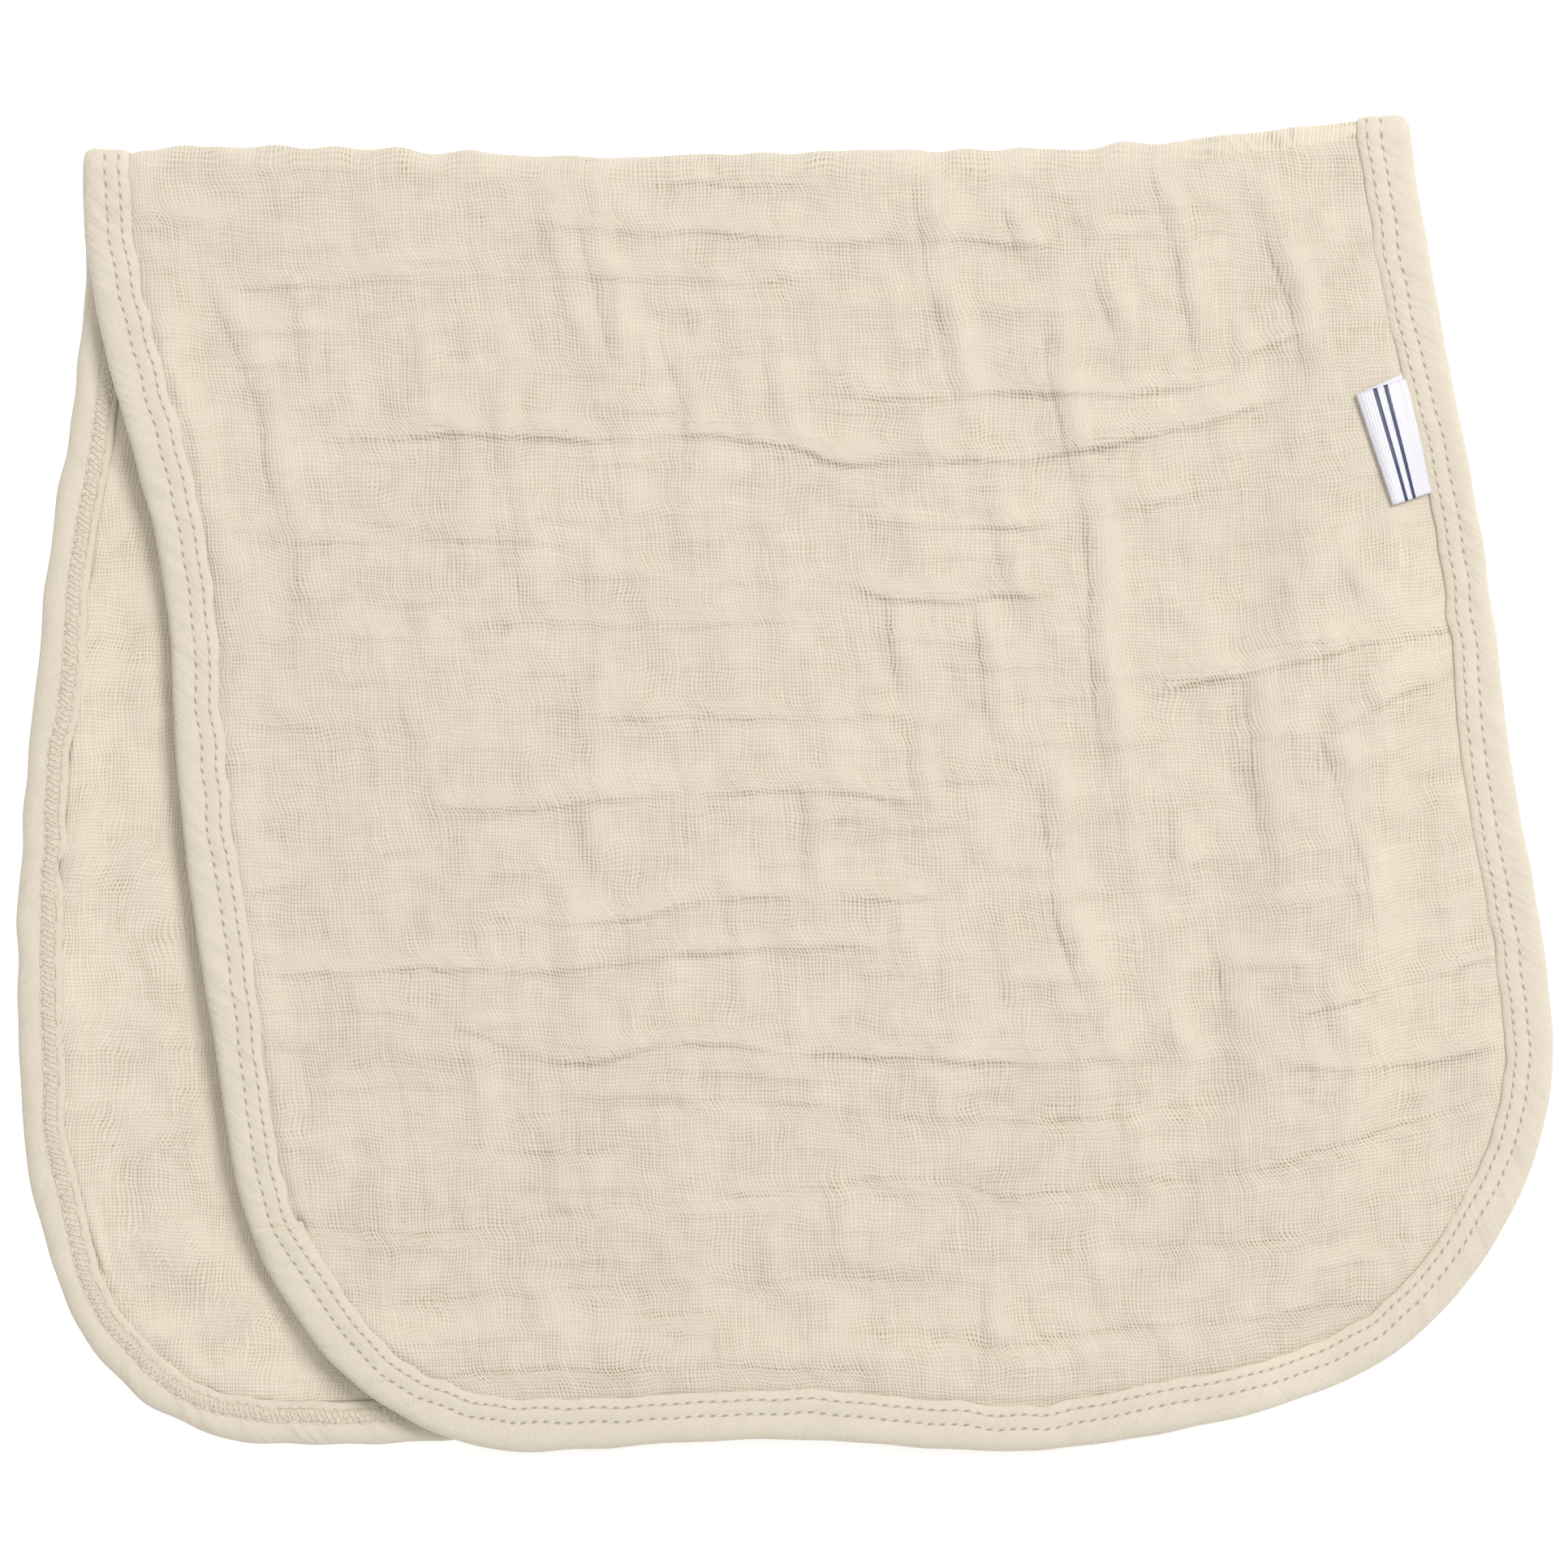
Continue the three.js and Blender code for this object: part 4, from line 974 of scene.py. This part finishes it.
def ribbon_label(line, material):
    """The side label: a loop of satin ribbon with both its ends sewn under the tape"""
    fold_top, fold_bottom = np.array(LABEL["fold_top"]), np.array(LABEL["fold_bottom"])
    down = (fold_bottom - fold_top) / np.linalg.norm(fold_bottom - fold_top)
    across = np.array([-down[1], down[0]])
    share = np.linspace(0, 1, LABEL_STEPS + 1)
    folds = fold_top + share[:, None] * LABEL["width"] * down
    line_x, line_y = line.read("x", line.reach), line.read("y", line.reach)
    roots = []
    for fold in folds:
        depth = (line_x - fold[0]) * across[0] + (line_y - fold[1]) * across[1]
        aside = np.abs((line_x - fold[0]) * down[0] + (line_y - fold[1]) * down[1])
        aside = aside + 1e3 * (line.read("out_z", line.reach) < 1) + 1e3 * (depth < 0)
        nearest = np.argmin(aside)
        roots.append((depth[nearest] - TAPE_WIDTH + 1.2, line.read("z", line.reach[nearest])))
    length = np.array([root[0] for root in roots])[:, None]
    root_z = np.array([root[1] for root in roots])[:, None]

    def ply(t, side, offset):
        """Points of one ply: t runs from the root to the fold, side is 1 on top, -1 below"""
        t = t[None, :] + 0 * length
        x = folds[:, :1] + (1 - t) * length * across[0]
        y = folds[:, 1:] + (1 - t) * length * across[1]
        if side < 0:
            x = x - LABEL_PEEK * (1 - t) * down[0]
            y = y - LABEL_PEEK * (1 - t) * down[1]
        height, half, _, _ = upper_layer(x, y, creased=False)
        cloth = height + half
        loop = LABEL_LOOP * np.sqrt(np.clip(1 - (2 * t - 1) ** 2, 0, 1)) * (0.6 + 0.4 * t)
        rest = lerp(root_z + PANEL_HALF_IN_TAPE + 0.16, cloth + 0.55 + 0.5 * t, smooth(t, 0, 0.32))
        z = rest + 0.13 * side + np.maximum(side, 0) * loop + offset
        return np.stack([x, y, z], -1)

    t = np.linspace(0, 1, 15)
    half = LABEL["ply"] / 2
    rows = [ply(t, -1, -half), ply(t[::-1], 1, half), ply(t, 1, -half), ply(t[::-1], -1, half)]
    nose_out, nose_in = rows[0][:, -1], rows[1][:, 0]
    bulge = across * -0.3
    nose = (nose_out + nose_in) / 2
    nose[:, :2] += bulge
    nose_within = (rows[2][:, -1] + rows[3][:, 0]) / 2
    nose_within[:, :2] += bulge * 0.2
    section = np.concatenate([
        rows[0], nose[:, None], rows[1], rows[2], nose_within[:, None], rows[3],
    ], 1)
    sides = section.shape[1]
    places = np.concatenate([t - 1, [0], 1 - t[::-1], 3 - t[::-1], [3], t + 3])
    points = section.reshape(-1, 3)
    faces, cloth_at = [], []
    for k in range(LABEL_STEPS):
        for m in range(sides):
            n = (m + 1) % sides
            faces.append([k * sides + m, (k + 1) * sides + m, (k + 1) * sides + n, k * sides + n])
            a, b = places[m] * TAPE_WIDTH, places[n] * TAPE_WIDTH
            w = [j / LABEL_STEPS * LABEL["width"] for j in (k, k + 1)]
            cloth_at += [(a, w[0]), (a, w[1]), (b, w[1]), (b, w[0])]
    for k in (0, LABEL_STEPS):
        for m in range(sides // 2 - 1):
            ring = [m, m + 1, sides - 2 - m, sides - 1 - m][:: 1 if k == 0 else -1]
            faces.append([k * sides + i for i in ring])
            cloth_at += [(places[i] * TAPE_WIDTH, 0) for i in ring]
    return new_piece("ribbon_label", points, faces, cloth_at, material)


def linear(colour):
    """An sRGB hex colour as the linear colour that a shader takes"""
    channels = [int(colour[i:i + 2], 16) / 255 for i in (1, 3, 5)]
    return [c / 12.92 if c <= 0.04045 else ((c + 0.055) / 1.055) ** 2.4 for c in channels] + [1]


def add(tree, kind, inputs=(), **settings):
    """A node with its settings; inputs gives each socket's value, or the output linked to it"""
    node = tree.nodes.new("ShaderNode" + kind)
    for name, value in settings.items():
        setattr(node, name, value)
    for name, value in dict(inputs).items():
        if isinstance(value, bpy.types.Node):
            value = value.outputs[0]
        if isinstance(value, bpy.types.NodeSocket):
            tree.links.new(value, node.inputs[name])
        else:
            node.inputs[name].default_value = value
    return node


def new_material(name):
    material = bpy.data.materials.new(name)
    material.use_nodes = True
    material.node_tree.nodes.clear()
    return material


def sum_up(tree, start, parts):
    """The start value plus each part times its share"""
    for part, share in parts:
        start = add(tree, "Math", {0: part, 1: share, 2: start}, operation="MULTIPLY_ADD")
    return start


def finish_material(tree, colour, height, bump, shader):
    """Puts a colour and a height, which is bump metres at 1, on a surface"""
    inputs = {"Base Color": colour, **shader}
    inputs["Normal"] = add(tree, "Bump", {"Height": height, "Distance": bump})
    surface = add(tree, "BsdfPrincipled", inputs)
    add(tree, "OutputMaterial", {"Surface": surface})


def woven_ply(tree, place, pitch, seed):
    """Cover by the warp, by the weft, and the holes between them, for one ply of threads"""
    turns = math.tau / pitch
    phase = add(tree, "VectorMath", {0: place, 1: (turns, turns, 0)}, operation="MULTIPLY")
    split = add(tree, "SeparateXYZ", {0: phase})
    cover = []
    for axis, stretch in ((0, (1.1, 0.07, 0)), (1, (0.07, 1.1, 0))):
        along = add(tree, "VectorMath", {
            0: place, 1: [s / pitch for s in stretch], 2: (seed, 3 * seed, 0),
        }, operation="MULTIPLY_ADD")
        uneven = add(tree, "TexNoise", {"Vector": along, "Scale": 1, "Detail": 1},
                     noise_dimensions="2D")
        apart = add(tree, "SeparateXYZ", {0: uneven.outputs["Color"]}).outputs[1]
        apart = sum_up(tree, split.outputs[axis], [(apart, THREADS_APART)])
        wave = add(tree, "Math", {0: apart}, operation="COSINE")
        width = sum_up(tree, -THREADS_WIDTH / 2, [(uneven, THREADS_WIDTH)])
        reach = add(tree, "Math", {0: wave, 1: width}, operation="ADD")
        cover.append(add(tree, "MapRange", {
            "Value": reach, "From Min": -0.95, "From Max": 0.6,
        }, interpolation_type="SMOOTHSTEP"))
    gaps = [add(tree, "Math", {0: 1, 1: c}, operation="SUBTRACT") for c in cover]
    hole = add(tree, "Math", {0: gaps[0], 1: gaps[1]}, operation="MULTIPLY")
    return cover, gaps, hole


def wander(tree, place, size, amount):
    """Places moved by a soft noise of that size, from nothing to twice that amount"""
    noise = add(tree, "TexNoise", {"Vector": place, "Scale": 1 / size, "Detail": 1},
                noise_dimensions="2D")
    return add(tree, "VectorMath", {
        0: noise.outputs["Color"], 1: (2 * amount, 2 * amount, 0), 2: place,
    }, operation="MULTIPLY_ADD")


def crease_step(tree, name):
    """A small sharp step along the creases of one family, 1 high, the shade in its corner, and
    the height of the creases"""
    split = add(tree, "SeparateXYZ", {0: add(tree, "Attribute", attribute_name=name).outputs[1]})
    line, strength = split.outputs[0], split.outputs[1]
    rise = add(tree, "MapRange", {"Value": line, "From Min": -0.5, "From Max": 0.5},
               interpolation_type="SMOOTHSTEP")
    away = add(tree, "Math", {0: line}, operation="ABSOLUTE")
    corner = add(tree, "MapRange", {"Value": away, "From Min": 1.1, "From Max": 0.1},
                 interpolation_type="SMOOTHSTEP")
    parts = [add(tree, "Math", {0: part, 1: strength}, operation="MULTIPLY")
             for part in (rise, corner)]
    return parts + [split.outputs[2]]


def cotton_gauze():
    """Cotton gauze, plain woven in two loose plies: matt, with light threads, painted shade in
    the small holes and the gaps between them, patches where the second ply's threads fill the
    holes of the first, and a small step in the creases with more painted shade in the holes
    at its corner and in its troughs. Painted light makes the lower layer a little lighter"""
    material = new_material("cotton_gauze_plain_woven")
    tree = material.node_tree
    flat = add(tree, "UVMap", uv_map=CLOTH_MAP)
    place = wander(tree, wander(tree, flat, 26, 1.6), 6, 0.55)
    cover, gaps, hole = woven_ply(tree, place, THREAD_PITCH, 5)
    behind = wander(tree, place, 9, 1.1)
    _, _, second = woven_ply(tree, behind, THREAD_PITCH * 1.06, 23)
    patch, tone = [
        add(tree, "TexNoise", {"Vector": flat, "Scale": 1 / size, "Detail": 2},
            noise_dimensions="2D")
        for size in (GAUZE_PATCH, GAUZE_TONE)
    ]
    open_weave_and_crease_shade = add(tree, "MapRange", {"Value": patch, "From Min": 0.35, "From Max": 0.65,
                                        "To Min": 0.25, "To Max": 1.0})
    # Painted shade: the weave's holes and the gaps between its threads are darker, more so where the
    # holes of both plies line up
    deep = sum_up(tree, 0.26, [(second, 0.5)])
    tone_and_painted_shade = sum_up(tree, 0.0, [(hole, deep), (gaps[0], 0.16), (gaps[1], 0.04)])
    steps = [crease_step(tree, name) for name in CREASE_LINES]
    # Painted shade: the holes are darker in the corner of each crease's step and in its troughs, and
    # lighter on its crests
    for _, corner, raised in steps:
        open_weave_and_crease_shade = sum_up(tree, open_weave_and_crease_shade, [(corner, 1.3), (raised, -0.6)])
    tone_and_painted_shade = add(tree, "Math", {0: tone_and_painted_shade, 1: open_weave_and_crease_shade}, operation="MULTIPLY", use_clamp=True)
    # The light thread colour, mixed towards a painted shade colour
    threads_and_shade_colour = add(tree, "Mix", {0: tone_and_painted_shade, 6: linear("#E1D6C3"), 7: linear("#A4967F")},
                         data_type="RGBA").outputs[2]
    tone_and_painted_light = add(tree, "MapRange", {"Value": tone, "To Min": 0.96, "To Max": 1.03})
    # Painted light: the lower layer, where the cloth map's v is above 0, is made up to 7 % lighter
    lower_layer_painted_light = add(tree, "SeparateXYZ", {0: flat}).outputs[1]
    lower_layer_painted_light = add(tree, "MapRange", {"Value": lower_layer_painted_light, "From Min": -2.0, "From Max": 2.0,
                                        "To Min": 1.0, "To Max": 1.07})
    tone_and_painted_light = add(tree, "Math", {0: tone_and_painted_light, 1: lower_layer_painted_light}, operation="MULTIPLY")
    colour = add(tree, "VectorMath", {0: threads_and_shade_colour, "Scale": tone_and_painted_light}, operation="SCALE")
    height = add(tree, "Math", {0: cover[0], 1: cover[1]}, operation="ADD")
    height = sum_up(tree, height, [(step, 1.5) for step, _, _ in steps])
    finish_material(tree, colour, height, 0.000065, {
        "Roughness": 0.92, "IOR": 1.53, "Specular IOR Level": 0.15,
        "Sheen Weight": 0.15, "Sheen Roughness": 0.6,
    })
    return material


def cotton_bias_tape():
    """Cotton bias tape, folded and pressed: smoother and lighter than the gauze, with a faint
    slanting weave with painted shade in its holes, fine slanting wrinkles, and a small pit
    at the end of each stitch, darkened with painted shade"""
    material = new_material("cotton_bias_tape_folded")
    tree = material.node_tree
    flat = add(tree, "UVMap", uv_map=CLOTH_MAP)
    split = add(tree, "SeparateXYZ", {0: flat})
    slot_pit_and_painted_shade = 0.0
    # At the end of each stitch on every row of both faces: a small pit in the height and painted shade
    # in the colour
    rows = [(row, 0.75, 1.0) for row in GOOD_ROWS] + [(-row, 0.45, 0.25) for row in WEB_ROWS]
    for row, length, strength in rows:
        away = add(tree, "Math", {0: split.outputs[1], 1: -row}, operation="ADD")
        leaned = sum_up(tree, split.outputs[0], [(away, 1.2)])
        turn = add(tree, "Math", {0: leaned, 1: math.tau / STITCH}, operation="MULTIPLY")
        beat = add(tree, "Math", {0: turn}, operation="COSINE")
        near = add(tree, "MapRange", {
            "Value": beat, "From Min": math.cos(math.tau * length / STITCH), "From Max": 1.0,
        }, interpolation_type="SMOOTHSTEP")
        off_row = add(tree, "Math", {0: away}, operation="ABSOLUTE")
        on_row = add(tree, "MapRange", {
            "Value": off_row, "From Min": 0.3, "From Max": 0.08, "To Max": strength,
        }, interpolation_type="SMOOTHSTEP")
        here = add(tree, "Math", {0: near, 1: on_row}, operation="MULTIPLY")
        slot_pit_and_painted_shade = add(tree, "Math", {0: slot_pit_and_painted_shade, 1: here}, operation="MAXIMUM")
    turned = add(tree, "VectorRotate", {"Vector": flat, "Angle": math.radians(45)},
                 rotation_type="Z_AXIS")
    weave = wander(tree, turned, 3, 0.3)
    cover, _, hole = woven_ply(tree, weave, TAPE_THREAD_PITCH, 41)
    inset = add(tree, "Math", {0: split.outputs[1]}, operation="ABSOLUTE")
    slanted = sum_up(tree, split.outputs[0], [(inset, 0.9)])
    stretched = sum_up(tree, 0.0, [(inset, 0.12)])
    drag = add(tree, "CombineXYZ", {0: slanted, 1: stretched})
    wrinkle, places, fuzz, cloudy = [
        add(tree, "TexNoise", {"Vector": at, "Scale": to_the_millimetre, "Detail": detail},
            noise_dimensions="2D")
        for at, to_the_millimetre, detail in (
            (drag, 0.75, 1), (flat, 1 / 30, 1), (flat, 1.1, 3), (flat, 0.12, 2),
        )
    ]
    pulled = add(tree, "MapRange", {"Value": places, "From Min": 0.42, "From Max": 0.66,
                                    "To Min": 0.3, "To Max": 3.2})
    # Random tone from fuzz and cloud, and painted shade in the weave's holes and the stitch slots
    tone_and_painted_shade = sum_up(tree, 0.0, [(hole, 0.12), (fuzz, 0.14), (cloudy, 0.1), (slot_pit_and_painted_shade, 0.6)])
    tone_and_painted_shade.use_clamp = True
    colour = add(tree, "Mix", {0: tone_and_painted_shade, 6: linear("#E5DBC9"), 7: linear("#95876F")},
                 data_type="RGBA").outputs[2]
    height = sum_up(tree, fuzz, [(cover[0], 0.35), (wrinkle, pulled), (slot_pit_and_painted_shade, -1.6)])
    finish_material(tree, colour, height, 0.00007, {
        "Roughness": 0.85, "IOR": 1.53, "Specular IOR Level": 0.2,
        "Sheen Weight": 0.15, "Sheen Roughness": 0.6,
    })
    return material


def spun_thread():
    """Sewing thread, spun and twisted: light and slightly glossy, with a slanting twist"""
    material = new_material("polyester_thread_spun")
    tree = material.node_tree
    flat = add(tree, "UVMap", uv_map=CLOTH_MAP)
    twist = add(tree, "TexWave", {"Vector": flat, "Scale": 0.35, "Distortion": 0.4},
                bands_direction="DIAGONAL")
    colour = add(tree, "Mix", {0: twist.outputs["Fac"], 6: linear("#DBD1BD"), 7: linear("#E9E0CF")},
                 data_type="RGBA").outputs[2]
    finish_material(tree, colour, twist.outputs["Fac"], 0.00004, {
        "Roughness": 0.6, "IOR": 1.55, "Specular IOR Level": 0.35,
    })
    return material


def satin_ribbon():
    """Polyester satin ribbon, woven: cool white with a soft sheen, fine ribs along its length,
    and two plain navy stripes woven in"""
    material = new_material("polyester_satin_ribbon_woven")
    tree = material.node_tree
    flat = add(tree, "UVMap", uv_map=CLOTH_MAP)
    split = add(tree, "SeparateXYZ", {0: flat})
    turn = add(tree, "Math", {0: split.outputs[0], 1: math.tau / 0.55}, operation="MULTIPLY")
    rib = add(tree, "Math", {0: turn}, operation="SINE")
    rib = add(tree, "MapRange", {"Value": rib, "From Min": -1.0, "From Max": 1.0})
    stripes = []
    for middle in (3.1, 5.0):
        away = add(tree, "Math", {0: split.outputs[0], 1: -middle}, operation="ADD")
        away = add(tree, "Math", {0: away}, operation="ABSOLUTE")
        stripes.append(add(tree, "MapRange", {
            "Value": away, "From Min": 0.42, "From Max": 0.34,
        }, interpolation_type="SMOOTHSTEP"))
    stripe = add(tree, "Math", {0: stripes[0], 1: stripes[1]}, operation="MAXIMUM")
    white = add(tree, "Mix", {0: rib, 6: linear("#DCDBE3"), 7: linear("#EDECF1")},
                data_type="RGBA").outputs[2]
    colour = add(tree, "Mix", {0: stripe, 6: white, 7: linear("#333F5E")},
                 data_type="RGBA").outputs[2]
    finish_material(tree, colour, rib, 0.00005, {
        "Roughness": 0.42, "IOR": 1.55, "Specular IOR Level": 0.5, "Anisotropic": 0.4,
        "Sheen Weight": 0.1, "Sheen Roughness": 0.4,
    })
    return material


def opal_acrylic():
    """Opal acrylic, moulded, lit from below: an even white table without hard shadows"""
    material = new_material("opal_acrylic_moulded")
    tree = material.node_tree
    grain = add(tree, "TexNoise", {"Scale": 400, "Detail": 2})
    white = add(tree, "Mix", {0: grain, 6: linear("#F4F4F4"), 7: linear("#F8F8F8")},
                data_type="RGBA").outputs[2]
    surface = add(tree, "BsdfPrincipled", {
        "Base Color": white, "Roughness": 0.8, "Specular IOR Level": 0.1,
        "Emission Color": (1, 1, 1, 1), "Emission Strength": TABLE_GLOW,
    })
    add(tree, "OutputMaterial", {"Surface": surface})
    return material


def table_top():
    half = TABLE_SIZE / 2
    mesh = bpy.data.meshes.new("tabletop")
    corners = [(-half, -half), (half, -half), (half, half), (-half, half)]
    mesh.from_pydata([(x, y, -TABLE_BELOW) for x, y in corners], [], [(0, 1, 2, 3)])
    mesh.materials.append(opal_acrylic())
    table = bpy.data.objects.new("tabletop", mesh)
    bpy.context.scene.collection.objects.link(table)
    return table


def soft_light(name, at, size, watts):
    """A square soft box that faces the cloth"""
    light = bpy.data.lights.new(name, "AREA")
    light.shape = "SQUARE"
    light.size = size
    light.energy = watts
    lamp = bpy.data.objects.new(name, light)
    lamp.location = at
    away = -lamp.location
    lamp.rotation_euler = away.to_track_quat("-Z", "Y").to_euler()
    bpy.context.scene.collection.objects.link(lamp)


def studio():
    """Straight down, with the photograph's width at the height of the cloth's upper face"""
    scene = bpy.context.scene
    lens = bpy.data.cameras.new("camera")
    lens.lens = CAMERA_LENS
    lens.clip_end = 10
    camera = bpy.data.objects.new("camera", lens)
    distance = PHOTO_WIDTH * MM * CAMERA_LENS / lens.sensor_width
    camera.location = (0, 0, distance + PHOTO_PLANE * MM)
    scene.collection.objects.link(camera)
    scene.camera = camera
    scene.view_settings.view_transform = "Standard"
    world = bpy.data.worlds.new("studio")
    world.use_nodes = True
    world.node_tree.nodes["Background"].inputs["Color"].default_value = (1, 1, 1, 1)
    world.node_tree.nodes["Background"].inputs["Strength"].default_value = WORLD_LIGHT
    scene.world = world
    soft_light("key", KEY["at"], KEY["size"], KEY["watts"])
    soft_light("fill", FILL["at"], FILL["size"], FILL["watts"])


studio()
table = table_top()
gauze, tape, thread = cotton_gauze(), cotton_bias_tape(), spun_thread()
line = TapeLine(TAPE_SPACING)

panel = gauze_panel(gauze)
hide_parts("muslin_panel")
binding = bias_binding(line, tape)
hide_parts("edge_binding")
stitches = needle_stitches(line, thread)
web = looper_web(line, thread)
label = ribbon_label(line, satin_ribbon())
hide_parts("side_label")
